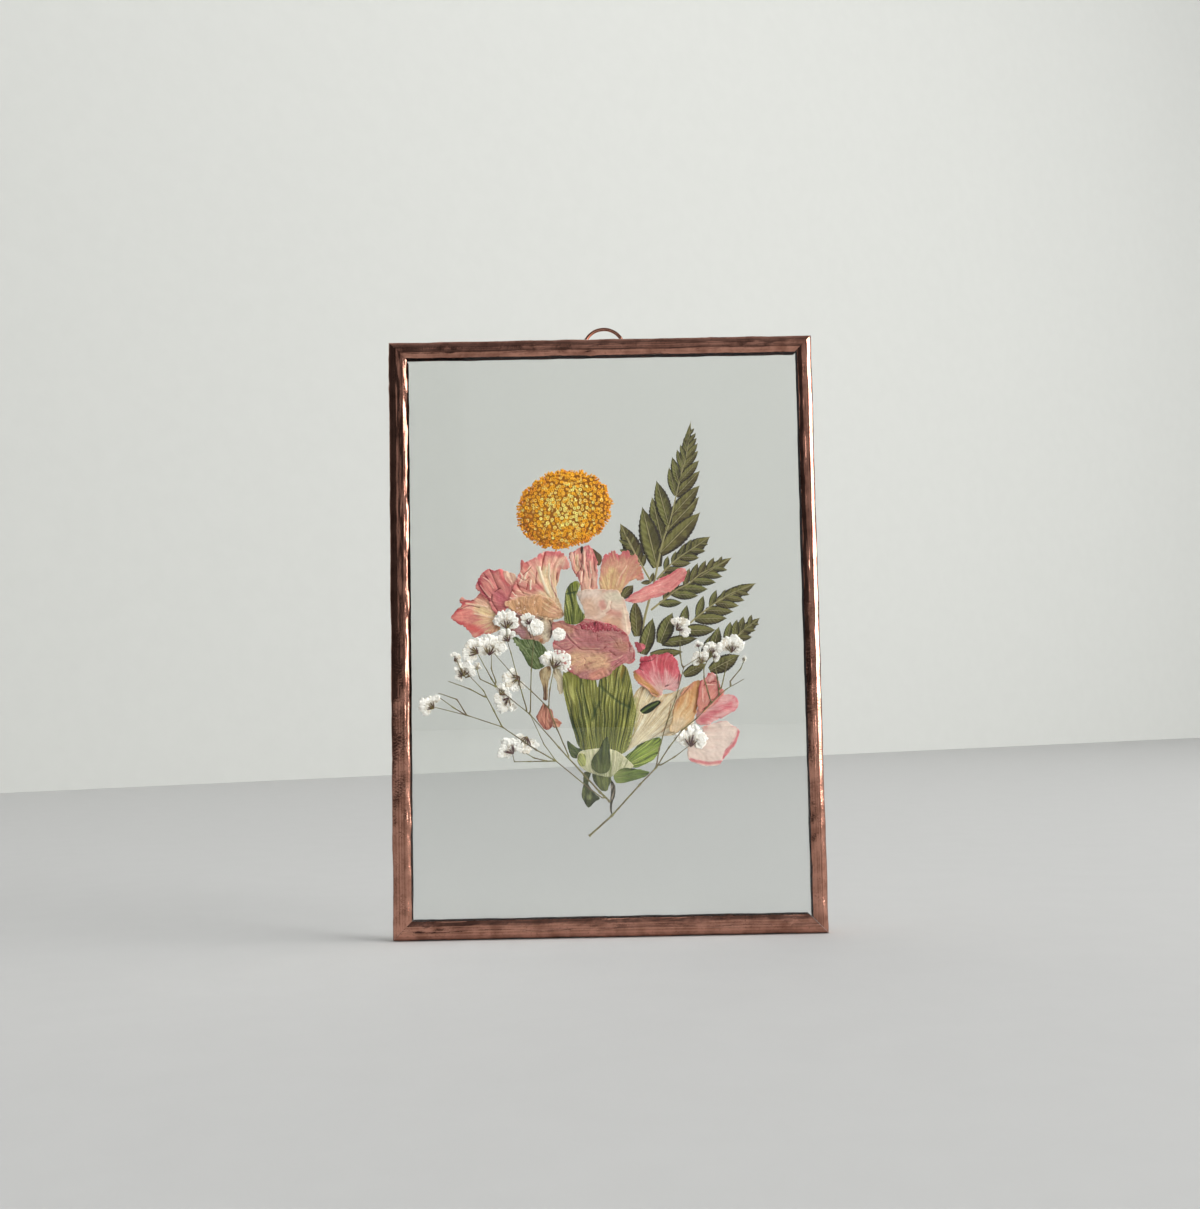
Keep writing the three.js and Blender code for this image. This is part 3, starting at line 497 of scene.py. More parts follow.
def stained_and_shaded(points, stains_and_shade, wobble):
    """Colour and cover of the discoloured patches and painted shade at the points. Each is (radius, colour,
    x, z, x, z, ...).
    """
    colour, cover = np.zeros((len(points), 3)), np.zeros(len(points))
    for radius, shade, *way in stains_and_shade:
        line = np.reshape(way, (-1, 2))
        if len(line) == 1:
            away = np.linalg.norm(points - line[0], axis=1)
        else:
            away = distance_to(points, even_curve(line, 0.5, False))
        share = np.clip(1.3 - 1.3 * away * (1 + 0.3 * wobble) / radius, 0, 1)
        share = share * share * (3 - 2 * share)
        colour = colour * (1 - share)[:, None] + share[:, None] * np.array(srgb(*shade)[:3])
        cover = cover + share * (1 - cover)
    return np.column_stack([colour / np.maximum(cover, 1e-6)[:, None], cover])


def lines_at(points, lines, wobble):
    """Nearness to folds and their summed height. A fold is (width, height, x, z, x, z, ...)."""
    near, height = np.zeros(len(points)), np.zeros(len(points))
    for width, rise, *way in lines:
        line = even_curve(np.reshape(way, (-1, 2)), 0.4, False)
        away = distance_to(points, line) + 0.3 * width * wobble
        bell = np.exp(-(away / width) ** 2)
        near = np.maximum(near, bell)
        height += rise * bell
    return near, height


FOLD_FORWARDS, FOLD_BACKWARDS = 0.34, 0.3  # how far a fold may leave the layer of its sheet


def sheet(node, look, settings, seed):
    """One pressed petal, leaf or bract on the outline of its CAD piece, or on its own outline over
    or under another piece, with folds, creases, discoloured patches and a few spots of painted shade."""
    spacing = settings.spacing / MM
    outlines, depth = cad_outline(look.get("over", node))
    if "outline" in look:
        outlines = [np.array(look["outline"], float)]
        depth -= look["above"]
    middle = outlines[0].mean(0)
    outlines = [middle + (loop - middle) * (look["narrow"], 1) for loop in outlines]
    loops = [frilled(even_curve(loop, spacing, True), look, seed) for loop in outlines]
    loops += [even_curve(cut, spacing, True) for cut in look["cuts"]]
    points, triangles = filled(loops, spacing, seed)
    edge = np.min([distance_to(points, loop, True) for loop in loops], axis=0)
    around, reach = fan_coordinates(points, look["base"])
    span = reach / reach.max()
    period = look["period"]
    wander = noise_field(points / 5, seed + 0.5) * look["wander"]
    streaks = np.stack([(around + wander) / period, reach / (period * look["run"])], axis=1)
    broad = ridged(noise_field(streaks, seed))
    fine = ridged(noise_field(streaks * np.array([2.7, 2.0]), seed + 7))
    fold = 0.65 * broad + 0.35 * fine
    crumple = ridged(noise_field(points / look["crumple_size"], seed + 3))
    curl = noise_field(np.stack([around / 0.9, reach / 3], axis=1), seed + 11) * np.exp(-edge / 0.8)
    crease, dip = lines_at(points, look["creases"], fine)
    crest, rise = lines_at(points, look["crests"], fine)
    strength = look["fold"] * settings.fold / MM
    height = (strength * fold * (0.4 + 0.6 * span) + look["crumple"] * crumple
              + look["curl"] * curl + rise - dip)
    limit = HALF_GAP - SHEET_ROOM
    surface = np.clip(depth - height, max(-limit, depth - FOLD_FORWARDS), min(limit, depth + FOLD_BACKWARDS))
    piece = new_piece(node + "_sheet", metres(points[:, 0], surface, points[:, 1]), triangles)
    set_uv(piece, np.stack([(around + wander) / 10, reach / 10], axis=1))
    values = {"edge": edge, "span": span, "fold": fold, "crease": crease, "crest": crest, "crumple": crumple}
    for name, each in values.items():
        set_attribute(piece, name, each)
    # Discoloured patches, a few of them painted shade.
    set_colour(piece, "stain_and_shade", stained_and_shaded(points, look["stains_and_shade"], broad))
    apply_modifier(piece, "SOLIDIFY", thickness=settings.thickness, offset=0, use_even_offset=False)
    face_outwards(piece)
    return piece


def sheet_finish(name, look):
    """Dry petal or leaf: streaks that run out from the base, a discoloured margin, folds and blotches, with
    painted shade in the valleys, creases and dents of the folds and painted highlights on their ridges and
    crests.
    """
    finish = Finish(name, Roughness=0.6, IOR=1.4, Specular_IOR_Level=0.2, Sheen_Weight=0.05)
    body = srgb(*look["body"])
    rim = srgb(*look["rim"])
    valley_shade_colour = srgb(*look.get("valley_shade", look["rim"]))
    stripes = look["stripe_scale"]
    streak_at = finish.scaled(finish.place("UV"), (1, look["stripe_run"], 1))
    streak = finish.noise(streak_at, stripes, 4)
    vein = finish.ridges(streak_at, stripes * 1.3, 3)
    crumple = finish.ridges(finish.place(), 900, 2)
    blotch = finish.noise(finish.place(), 260, 4)
    patchy = finish.span(finish.noise(finish.place(), 170, 2), 0.36, 0.62, look["patchy"], 1)
    outwards = finish.sum(finish.attribute("span"), finish.span(streak, 0.25, 0.75, -0.3, 0.3))
    colour = finish.mix(finish.span(outwards, *look["heart_span"]),
                        srgb(*look.get("heart", look["body"])), body)
    broken = finish.sum(finish.attribute("edge"), finish.span(streak, 0.3, 0.7, -1.1, 1.1))
    near_edge = finish.span(broken, look["margin"], -0.4, 0, look["rim_strength"])
    outer = finish.span(finish.attribute("span"), *look["rim_span"])
    colour = finish.mix(finish.product(near_edge, outer), colour, rim)
    # Discoloured patches, a few of them painted shade.
    if look["stains_and_shade"]:
        colour = finish.mix(finish.attribute("stain_and_shade", "Alpha"), colour, finish.attribute("stain_and_shade", "Color"))
    lines = finish.span(vein, 0.75, 0.98, 0, look["vein_strength"])
    colour = finish.mix(lines, colour, srgb(*look.get("vein", look["rim"])))
    # Painted highlight on the ridges of the folds and painted shade in their valleys.
    fold = finish.attribute("fold")
    ridge_highlight = finish.product(finish.span(fold, 0.5, 0.95, 0, look["ridge_highlight_strength"]), patchy)
    ridge_highlight_colour = srgb(*look["ridge_highlight"])
    colour = finish.mix(ridge_highlight, colour, ridge_highlight_colour)
    valley_shade = finish.product(finish.span(fold, 0.05, -0.5, 0, look["valley_shade_strength"]), patchy)
    colour = finish.mix(valley_shade, colour, valley_shade_colour)
    # Painted shade in the dents of the crumpled surface.
    dent = finish.sum(finish.span(finish.attribute("crumple"), 0.0, -0.6, 0, 0.5),
                      finish.span(crumple, 0.7, 0.3, 0, 0.3))
    colour = finish.mix(finish.product(dent, look["dent"]), colour, valley_shade_colour)
    # Painted highlight along the raised crests, and painted shade along the pressed-in creases.
    colour = finish.mix(finish.span(finish.attribute("crest"), 0.2, 0.9, 0, 0.9), colour, ridge_highlight_colour)
    crease = finish.span(finish.attribute("crease"), 0.3, 0.95, 0, look["crease_shade_strength"])
    colour = finish.mix(crease, colour, srgb(*look["crease"]))
    mottle = finish.ramp(blotch, (0.3, (0.76, 0.73, 0.7, 1)), (0.7, (1.05, 1.03, 1.0, 1)))
    finish.use("Base Color", finish.mix(0.85, colour, mottle, "MULTIPLY"))
    finish.use("Roughness", finish.span(blotch, 0.3, 0.7, 0.5, 0.75))
    relief = finish.sum(finish.product(vein, look["vein_relief"]),
                        finish.product(crumple, look["dent"]), streak)
    finish.bump(relief, 0.8, 0.15)
    return finish.material


# ---------------------------------------------------------------- petals
# Every sheet has this look where its own entry doesn't say otherwise. Depths and heights of folds
# are over the fold depth of the settings, and spans are shares of the way from the base to the tip.
PLAIN_LOOK = dict(
    # The edge: waves and teeth, and the width over that of the CAD piece.
    frill=0.3, teeth=0, tooth_pitch=1.25, narrow=1, cuts=(),
    # Folds that run out from the base: their pitch, sway and length over pitch, and their height.
    period=1.6, wander=1.2, run=7, fold=1.0, crumple=0.05, crumple_size=1.5, curl=0.3,
    # Folds pressed in and raised as (width, height, x, z, ...), and discoloured patches, a few of them
    # painted shade, as (radius, colour, x, z, ...).
    creases=(), crests=(), stains_and_shade=(),
    # Colours, where they lie and how strongly they show. The ridge colour is a painted highlight on fold
    # ridges and crests, and the crease colour is painted shade in creases.
    ridge_highlight=(248, 228, 204), crease=(120, 50, 50), heart_span=(0.15, 0.75), rim_span=(0.35, 0.8), margin=1.6,
    rim_strength=0.9, ridge_highlight_strength=0.5, valley_shade_strength=0.6, crease_shade_strength=0.9, dent=0.35, patchy=0.3,
    # Veins and streaks painted along the folds.
    vein_strength=0.28, vein_relief=0.6, stripe_scale=9.5, stripe_run=0.1)
PETALS = {
    "petal_far_left": dict(
        slot="petal_salmon", base=(-31, 5.5), body=(232, 150, 138), heart=(242, 208, 164),
        heart_span=(0.25, 0.6), rim=(204, 84, 90), valley_shade=(204, 106, 98), margin=1.4, teeth=0.5,
        ridge_highlight=(252, 220, 192), period=2.4,
        stains_and_shade=[(2.4, (246, 222, 172), -34, 6, -38.6, 8.2), (1.6, (244, 200, 170), -35, 9.4, -38.4, 10.6),
         # The brown patch at (-32.6, 3.4) is painted shade.
         (2.6, (172, 128, 88), -32.6, 3.4), (0.8, (140, 34, 44), -45.4, 8, -43.6, 8.8),
         (1.6, (222, 106, 100), -41, 2.6, -37.5, 1.2)],
        creases=[(0.26, 0.14, -43.8, 8.2, -41, 9.2, -38, 8.6),
         (0.26, 0.14, -44, 11, -42, 10.6, -39.6, 10.9), (0.35, 0.2, -33.6, 8.4, -32.2, 6.6)],
        crests=[(0.35, 0.14, -42, 10, -38.6, 9.4, -35.6, 8.8), (0.3, 0.12, -39.5, 6.8, -36, 6, -33.5, 5.4)],
        crease=(120, 40, 48)),
    "petal_left": dict(
        slot="petal_salmon", base=(-27.5, 8.5), body=(222, 146, 134), heart=(208, 120, 120), teeth=0.5,
        rim=(196, 78, 94), valley_shade=(176, 84, 92), margin=1.4, ridge_highlight=(246, 196, 178), period=1.4,
        stains_and_shade=[(3, (240, 206, 178), -28.6, 18.6, -27.6, 17.4),
         (0.9, (230, 116, 116), -31.4, 20, -31, 17.8, -29, 15.4),
         # The dark crimson line from (-38, 16.4) to (-35, 11) is a painted shadow along the left of the
         # petal.
         (1.1, (160, 48, 66), -38, 16.4, -36.6, 13, -35, 11), (3.4, (210, 118, 124), -31.5, 11.5),
         (1.6, (178, 68, 84), -35.6, 17.6)],
        creases=[(0.28, 0.2, -34.7, 20.2, -33.4, 17.3, -32.1, 14.1),
         (0.32, 0.2, -34.1, 12.4, -34.1, 10.4, -32.2, 7.2), (0.28, 0.16, -33.2, 13.4, -31.6, 14.4),
         (0.28, 0.2, -38.6, 16.8, -37.4, 14.4, -35.6, 11.8), (0.25, 0.14, -36.6, 19, -35.4, 17.4),
         (0.2, 0.1, -28.2, 13.4, -28, 11)],
        crests=[(0.25, 0.12, -36.6, 17.8, -34.6, 16.2, -33.6, 14.4),
         (0.22, 0.1, -37.6, 15.4, -36, 13, -34.6, 11.6), (0.25, 0.1, -30.2, 19.6, -29.8, 17, -28.4, 15.4)],
        crease=(116, 28, 40)),
    "petal_fan_left": dict(
        slot="petal_salmon", base=(-15, 9), body=(238, 172, 156), heart=(246, 220, 176), teeth=0.5,
        heart_span=(0.35, 0.8), rim=(224, 116, 120), valley_shade=(198, 112, 96), margin=1.8,
        ridge_highlight=(255, 244, 218), fold=1.25,
        stains_and_shade=[(2.4, (248, 228, 182), -17.8, 19.5, -17.6, 15.5, -16.6, 12),
         (3, (250, 208, 182), -13.4, 22.5), (1.7, (230, 128, 130), -20.6, 23.6, -17.4, 25, -13, 24.6),
         (2.2, (222, 134, 122), -24, 20.5), (2.4, (218, 138, 128), -25.6, 15.5, -22, 14.2, -19.4, 14.4),
         (2.4, (214, 130, 122), -29, 12.8)],
        creases=[(0.38, 0.25, -17.8, 24.9, -18.5, 22.3, -18.9, 19.7), (0.35, 0.2, -24.9, 22.6, -25, 19.8),
         (0.35, 0.2, -26.5, 16.4, -25.8, 14.2, -24.5, 12.8), (0.3, 0.16, -23, 16.4, -23.6, 13.8),
         (0.25, 0.14, -24.6, 18.4, -23, 19.6, -22, 20.8), (0.22, 0.14, -25.6, 17.4, -24, 16.6, -22.8, 17.6),
         (0.25, 0.14, -20.5, 19, -20.8, 15.5), (0.25, 0.16, -16.3, 18, -15.8, 14.4, -14.6, 11.6),
         (0.3, 0.12, -14.2, 18.6, -14.6, 16.6), (0.2, 0.1, -28.4, 14.6, -27, 12.4)],
        crests=[(0.45, 0.2, -19.6, 20.5, -18.6, 16.5, -17, 12.6),
         (0.3, 0.2, -16.6, 21.5, -16.6, 17.5, -15.4, 13.4, -13.4, 10.4),
         (0.28, 0.16, -22.4, 20.6, -23.6, 18.6, -24.2, 16.6),
         (0.25, 0.14, -25.4, 19, -24.8, 17.6, -25.6, 15.8), (0.25, 0.12, -22.2, 16.6, -22.4, 13.8),
         (0.22, 0.1, -30, 12.6, -28, 11), (0.2, 0.1, -28, 13.2, -26.4, 11.6),
         (0.3, 0.2, -14.6, 14.4, -13.8, 11.4, -13, 9.6)],
        crease=(160, 52, 48)),
    "petal_fan_left_flap": dict(
        slot="petal_tan", over="petal_fan_left", above=0.16, base=(-22, 2), body=(218, 168, 122),
        heart=(206, 152, 104),
        outline=[(-30.3, 9.6), (-28.8, 10.6), (-27.1, 10.9), (-25, 11.8), (-22.6, 11.9), (-20, 12.2),
         (-18, 11.4), (-16.2, 10.6), (-14.4, 9), (-13.2, 7.2), (-12.7, 5.9), (-16, 5), (-20.5, 5.9),
         (-25, 6.4), (-28.3, 7.8)],
        rim=(234, 186, 156), valley_shade=(164, 110, 70), ridge_highlight=(246, 214, 172), frill=0.45, margin=1.0,
        stains_and_shade=[(2.6, (196, 142, 94), -25, 8.6), (2.6, (230, 176, 146), -15.4, 7)],
        creases=[(0.2, 0.1, -24, 11.2, -24.2, 8), (0.22, 0.1, -27.4, 10.2, -26.4, 8),
         (0.2, 0.1, -21, 11.4, -21.4, 8.4), (0.2, 0.1, -18.2, 10.2, -16, 8.7, -14, 7.6)],
        crests=[(0.2, 0.12, -18.6, 9.7, -16.4, 8.2, -14.2, 7), (0.2, 0.1, -17.4, 10.9, -15.8, 9.6),
         (0.2, 0.1, -19, 8.6, -17, 7, -15, 6.4)],
        crease=(150, 88, 60), crease_shade_strength=0.7),
    "petal_folded": dict(
        slot="petal_pale", base=(-4.6, -6), body=(232, 164, 150), heart=(248, 224, 188), teeth=0.6,
        heart_span=(0.3, 0.9), rim=(216, 104, 112), valley_shade=(178, 100, 88), period=1.1,
        ridge_highlight=(254, 230, 204), ridge_highlight_strength=0.7, fold=1.3,
        stains_and_shade=[(1.0, (240, 210, 164), -8.2, 23.5, -8.2, 19.6),
         (1.2, (238, 142, 144), -5.4, 26, -4.4, 23.6), (0.6, (224, 110, 120), -9.8, 24.6, -9.8, 22),
         (1.4, (196, 150, 96), -9.2, 18), (1.1, (232, 180, 156), -3, 20, -3, 15)],
        creases=[(0.2, 0.18, -9, 24.6, -8.6, 21.3), (0.24, 0.18, -7.3, 22.8, -7, 20.3, -8.5, 18),
         (0.24, 0.18, -6.5, 26, -6.7, 20.4), (0.22, 0.2, -6.2, 19.2, -6.6, 15.3),
         (0.2, 0.16, -5, 20.6, -4.6, 16.8), (0.4, 0.2, -3.8, 16.6, -4.1, 14.2),
         (0.2, 0.14, -3.2, 23.4, -2.8, 19), (0.18, 0.12, -5.4, 25.4, -5.3, 22)],
        crests=[(0.26, 0.2, -6.8, 18.8, -7.1, 15.8), (0.26, 0.16, -7.9, 24.2, -8, 21),
         (0.2, 0.14, -5.9, 25, -5.9, 20.5), (0.24, 0.14, -4.2, 22, -3.9, 18.4)],
        crease=(104, 38, 34)),
    "petal_fan_right": dict(
        slot="petal_salmon", base=(1.4, 9.6), body=(218, 160, 134), heart=(226, 196, 140), teeth=0.9,
        heart_span=(0.25, 0.7), rim=(216, 98, 112), margin=2.0, valley_shade=(192, 120, 98),
        ridge_highlight=(242, 210, 178), fold=0.8, valley_shade_strength=0.45, ridge_highlight_strength=0.35, rim_span=(0.6, 0.85),
        stains_and_shade=[(3, (234, 206, 148), 1, 15.6, 2.4, 18.4), (3.4, (204, 146, 116), 10.6, 19.6)],
        creases=[(0.2, 0.1, 4.6, 24, 4.4, 20.6), (0.2, 0.1, 8.2, 24, 7, 20), (0.2, 0.1, 1.6, 24, 1.6, 21)],
        crests=[(0.25, 0.12, 7, 20.6, 4.6, 17, 3.6, 14.4)],
        crease=(206, 110, 110), crease_shade_strength=0.6),
    "petal_pale": dict(
        slot="petal_pale", base=(-9.5, 3.5), body=(238, 214, 194), heart=(232, 206, 190), patchy=0.1,
        rim=(226, 176, 160), valley_shade=(222, 178, 158), valley_shade_strength=0.35, ridge_highlight_strength=0.2, fold=0.45,
        margin=0.9,
        stains_and_shade=[(2.4, (236, 216, 202), -7, 12, -3, 12.4), (3, (230, 220, 196), 1.5, 11.4, 4.5, 11),
         (3.6, (220, 184, 160), -5.4, 9, -3.6, 7), (1.9, (226, 166, 152), -0.9, 9.2, -0.4, 7.8),
         (2.2, (222, 164, 148), 1.8, 6.2, 4.8, 5.6), (3.4, (222, 178, 150), 1, 3.6, 4.4, 2.6),
         (1.9, (238, 212, 190), 6, 7, 6.4, 2)],
        creases=[(0.2, 0.16, 2.1, 9.6, 1.7, 8.3, 1.9, 7.2, 0.9, 6.3, 0.3, 6.1)],
        crests=[(0.3, 0.2, 1.3, 10, 0.9, 8.6, 0.5, 7.4, -0.6, 6.9), (0.25, 0.1, 5.6, 8, 6.2, 4, 6.6, 0.6)],
        crease=(196, 124, 110), vein_strength=0.1, dent=0.1, vein_relief=0.15),
    "petal_long_pink": dict(
        slot="petal_salmon", base=(-6, 4), body=(240, 158, 152), heart=(248, 196, 180), rim=(220, 98, 110),
        valley_shade=(214, 110, 110), ridge_highlight=(254, 216, 200), period=1.2, margin=0.8, rim_span=(0.0, 0.4),
        teeth=0.4),
    "petal_mauve": dict(
        slot="petal_mauve", base=(16, -2), body=(192, 130, 128), heart=(196, 130, 126), rim=(198, 96, 102),
        valley_shade=(152, 90, 82), margin=0.9, fold=0.7, ridge_highlight=(226, 180, 160), patchy=0.1, crumple=0.13,
        crumple_size=1.9, period=2.0, valley_shade_strength=0.6, ridge_highlight_strength=0.5, rim_span=(0.0, 0.3),
        stains_and_shade=[(5, (230, 188, 150), -9, -7.4, -4.5, -8, -1, -9),
         (2.4, (220, 154, 132), -4, -12.6, -1, -11.6), (2.4, (204, 150, 126), -14, 2.4, -10.6, 1.4),
         (2.6, (202, 146, 124), 4, -3.4, 5.6, -4.4), (1.9, (208, 132, 134), 2.5, -9, 5.6, -7.4),
         (1.6, (220, 176, 166), 8, -5), (2.6, (184, 120, 120), -6, -1.8, -2.6, -2.8)],
        creases=[(0.22, 0.22, -11.9, 0, -10.5, -1.9, -9, -3.3, -7.2, -4.7, -4.5, -4.8, -1.6, -5, -0.3, -4.4,
          0.2, -3.7), (0.2, 0.14, 0.9, -5, 2.3, -6.2, 3.2, -6.8),
         (0.2, 0.14, 1.4, -0.8, 2.7, -2, 3.6, -3.4, 4, -4.4),
         (0.16, 0.1, -2.4, 0, -2.2, -2.3, 0, -2.6, 1.4, -3.3), (0.2, 0.14, 1, -11.4, 2.9, -9.6, 5.4, -8),
         (0.26, 0.2, 7, -3, 7.4, -4.2, 7.1, -5.5), (0.18, 0.14, 8.2, -2.5, 8.5, -5.6, 8.1, -8),
         (0.2, 0.16, -15.6, -2.6, -14.4, -3.4, -12, -4.8, -9.6, -3.6),
         (0.18, 0.12, -13, 3.2, -10, 2, -8, 1.2), (0.16, 0.08, -6.7, -7, -6, -8.1, -6.4, -9.5),
         (0.14, 0.1, 1.4, -10.2, 3.6, -8.4, 5.4, -7.2)],
        crests=[(0.2, 0.12, 0.8, -8.4, 3.2, -7.8, 5, -6.8), (0.16, 0.1, -11.6, 0.6, -10, -1.6, -8.6, -2.9),
         (0.2, 0.1, -9, -8, -7.6, -8.6), (0.25, 0.1, 4.6, -1.4, 5, -3),
         (0.16, 0.1, -7, -4.3, -4.5, -4.4, -1.8, -4.6)],
        crease=(140, 54, 62), vein_strength=0.24, dent=0.6),
    "petal_ruffle": dict(
        slot="petal_crimson", over="petal_mauve", above=0.14, base=(-1, -14), body=(188, 78, 92),
        heart=(206, 110, 118),
        outline=[(-8.3, 2.4), (-6.9, 3.2), (-5.2, 3.6), (-3.7, 4), (-2.4, 3.6), (-0.9, 3.4), (0.6, 3.2),
         (1.8, 3), (3, 2.3), (4.4, 1.2), (5.6, 0.3), (6.4, -0.4), (5.2, -0.3), (3.6, 0.5), (2.4, 0.7),
         (0.5, 0.6), (-1.5, 0.8), (-3, 0.3), (-4.6, 1), (-6.3, 1.2)],
        rim=(156, 44, 62), valley_shade=(96, 22, 36), valley_shade_strength=0.9, ridge_highlight=(240, 168, 170),
        ridge_highlight_strength=0.8, period=0.8, run=2.5, frill=0.5, teeth=0.5, tooth_pitch=0.9, crumple=0.14,
        crumple_size=0.9, dent=0.8, margin=0.5),
    "petal_scrap": dict(
        slot="petal_tan", base=(12.5, -7), body=(214, 112, 122), rim=(170, 62, 74), valley_shade=(150, 60, 66)),
    "petal_crimson": dict(
        slot="petal_crimson", base=(17, -19.5), body=(222, 108, 120), heart=(244, 196, 190), teeth=0.5,
        heart_span=(0.15, 0.75), rim=(192, 58, 78), margin=1.2, valley_shade=(204, 84, 100), valley_shade_strength=0.5,
        ridge_highlight=(250, 200, 200), period=1.1, fold=0.8,
        stains_and_shade=[(3, (208, 90, 98), 15.6, -9, 19, -10), (2.4, (238, 188, 186), 19, -14.6, 21, -15.8),
         (1.6, (242, 204, 190), 15.4, -16.6, 17.6, -17.6),
         (1.7, (218, 164, 98), 8, -12.3, 10.2, -14, 12.7, -16.2, 15.1, -18.6),
         (1.2, (176, 44, 66), 10.4, -9.6, 12, -8.4)],
        creases=[(0.2, 0.14, 10.2, -16, 12.7, -17.6, 15.5, -19),
         (0.25, 0.16, 10.6, -8.8, 13.7, -8.4, 15, -7.4), (0.25, 0.16, 11.2, -11.4, 9.9, -10.4, 10.5, -9.3),
         (0.36, 0.25, 17.8, -16.2, 18.8, -15.9), (0.25, 0.14, 22.2, -12, 21.6, -15.6)],
        crests=[(0.2, 0.12, 17, -17, 18.4, -16.7, 19.2, -16.2)],
        crease=(92, 26, 34), dent=0.2),
    "petal_tan": dict(
        slot="petal_tan", base=(18.5, -36), body=(222, 166, 108), heart=(240, 212, 166),
        heart_span=(0.35, 0.8), rim=(206, 132, 96), valley_shade=(184, 122, 72), ridge_highlight=(248, 214, 164), margin=1,
        fold=0.8, ridge_highlight_strength=0.35, valley_shade_strength=0.45,
        stains_and_shade=[(2.4, (240, 220, 184), 22.4, -27, 20.6, -28.6),
         (0.9, (176, 112, 58), 27.8, -17, 27.2, -21, 26.4, -24),
         (1.2, (222, 160, 130), 22.4, -18.6, 25.6, -16.2)],
        creases=[(0.28, 0.16, 25.2, -16.4, 22.4, -19.4),
         (0.25, 0.14, 28.2, -16.3, 27.6, -20.7, 26.8, -23.4)],
        crests=[(0.24, 0.14, 28.7, -15.6, 28.6, -18.6)],
        crease=(128, 72, 36), dent=0.15, vein_strength=0.2),
    "petal_rose_upper": dict(
        slot="petal_crimson", base=(24, -30), body=(226, 146, 134), heart=(232, 176, 150),
        rim=(208, 88, 94), valley_shade=(184, 100, 92), ridge_highlight=(250, 206, 192), teeth=0.3, fold=0.8,
        stains_and_shade=[(1.4, (242, 190, 184), 31, -14.4, 32.4, -13.4), (1.3, (214, 104, 110), 34, -17)],
        creases=[(0.22, 0.14, 29.4, -16.2, 30.2, -15.4, 31.2, -15.6, 32.2, -15, 33.6, -15.4),
         (0.2, 0.1, 30.4, -14.4, 31, -15.6),
         (0.2, 0.12, 34, -18.6, 32.6, -20.2, 31.4, -20.8, 30.2, -22.6, 28.6, -23.4)],
        crests=[(0.24, 0.14, 29, -17, 29, -21), (0.22, 0.12, 30, -15.9, 33, -16.1)],
        crease=(140, 40, 46)),
    "petal_rose_lower": dict(
        slot="petal_salmon", base=(20, -27), body=(240, 184, 182), heart=(238, 176, 168),
        rim=(226, 128, 138), valley_shade=(224, 138, 142), ridge_highlight=(252, 220, 214), fold=0.6, valley_shade_strength=0.4,
        ridge_highlight_strength=0.35, margin=0.8,
        stains_and_shade=[(2, (222, 122, 130), 29, -26.6, 33, -24, 37, -22.2), (2.2, (244, 200, 196), 35.5, -20.6)],
        dent=0.15),
    "petal_blush": dict(
        slot="petal_pale", base=(17, -30), body=(240, 220, 208), heart=(238, 212, 198), patchy=0.1,
        valley_shade=(230, 194, 182), valley_shade_strength=0.3, ridge_highlight_strength=0.15, fold=0.4, margin=0.4,
        rim=(228, 168, 164),
        stains_and_shade=[(1.0, (218, 120, 126), 39.7, -30.3, 38.3, -33.6, 36.1, -35.9, 34.9, -38.2),
         (0.9, (220, 128, 132), 25, -38.4, 30, -39.5, 34, -39.2), (1.6, (228, 150, 142), 29.6, -28)],
        creases=[(0.26, 0.16, 34.9, -37.2, 34.7, -38.8), (0.14, 0.1, 38.6, -30.8, 37, -33.8, 35.1, -36.2)],
        crests=[(0.25, 0.1, 38.8, -28.6, 37.6, -26.8)],
        crease=(196, 92, 104), vein_strength=0.06, dent=0.05, vein_relief=0.1, period=2.6),
    "petal_under": dict(
        slot="petal_mauve", base=(-14, 2.5), body=(206, 156, 140), heart=(230, 204, 172), rim=(150, 88, 84),
        valley_shade=(112, 66, 60), valley_shade_strength=0.8, crumple=0.12, teeth=0.6,
        stains_and_shade=[(2.1, (240, 228, 200), -18.4, 3.4, -17.8, -0.6), (1.8, (206, 150, 156), -27, 3, -24.8, 0.6),
         (1.1, (206, 140, 84), -19.6, -1.6)],
        creases=[(0.3, 0.16, -19.8, 4.6, -17.4, 5, -16.2, 2.4, -16.6, -1),
         (0.3, 0.16, -23.6, 2.6, -22.6, -0.6)],
        crease=(62, 36, 28)),
    "petal_bud": dict(
        slot="petal_tan", base=(-18.6, -16), body=(214, 148, 124), heart=(120, 84, 60),
        heart_span=(0.3, 0.6), rim=(168, 86, 78), valley_shade=(130, 70, 60), valley_shade_strength=0.8,
        ridge_highlight=(244, 200, 172),
        creases=[(0.22, 0.14, -18.4, -23.4, -18.6, -28)],
        crease=(120, 56, 46)),
    "petal_flake": dict(
        slot="petal_tan", base=(-18, -26), body=(222, 166, 134), rim=(186, 110, 92)),
    "petal_cream_fan": dict(
        slot="petal_cream", base=(4.5, -37.5), body=(244, 228, 190), heart=(248, 238, 204),
        rim=(222, 186, 132), valley_shade=(182, 142, 88), valley_shade_strength=0.85, ridge_highlight=(255, 252, 236),
        ridge_highlight_strength=0.9, period=1.0, margin=0.6, frill=0.12, vein=(160, 118, 70), vein_strength=0.55,
        run=24, wander=0.5, stripe_run=0.03, dent=0.05, fold=1.3,
        stains_and_shade=[(1.3, (214, 208, 150), 9, -20, 8.6, -27, 6.4, -33),
         (1.2, (216, 206, 180), 20, -29.4, 14, -31)],
        creases=[(0.3, 0.14, 19.4, -21.5, 17.9, -27.8, 16.4, -30)],
        crease=(170, 120, 70)),
    "leaf_in_gap": dict(
        slot="fern", over="petal_cream_fan", above=-0.22, base=(9, -25), body=(34, 46, 20), rim=(12, 16, 8),
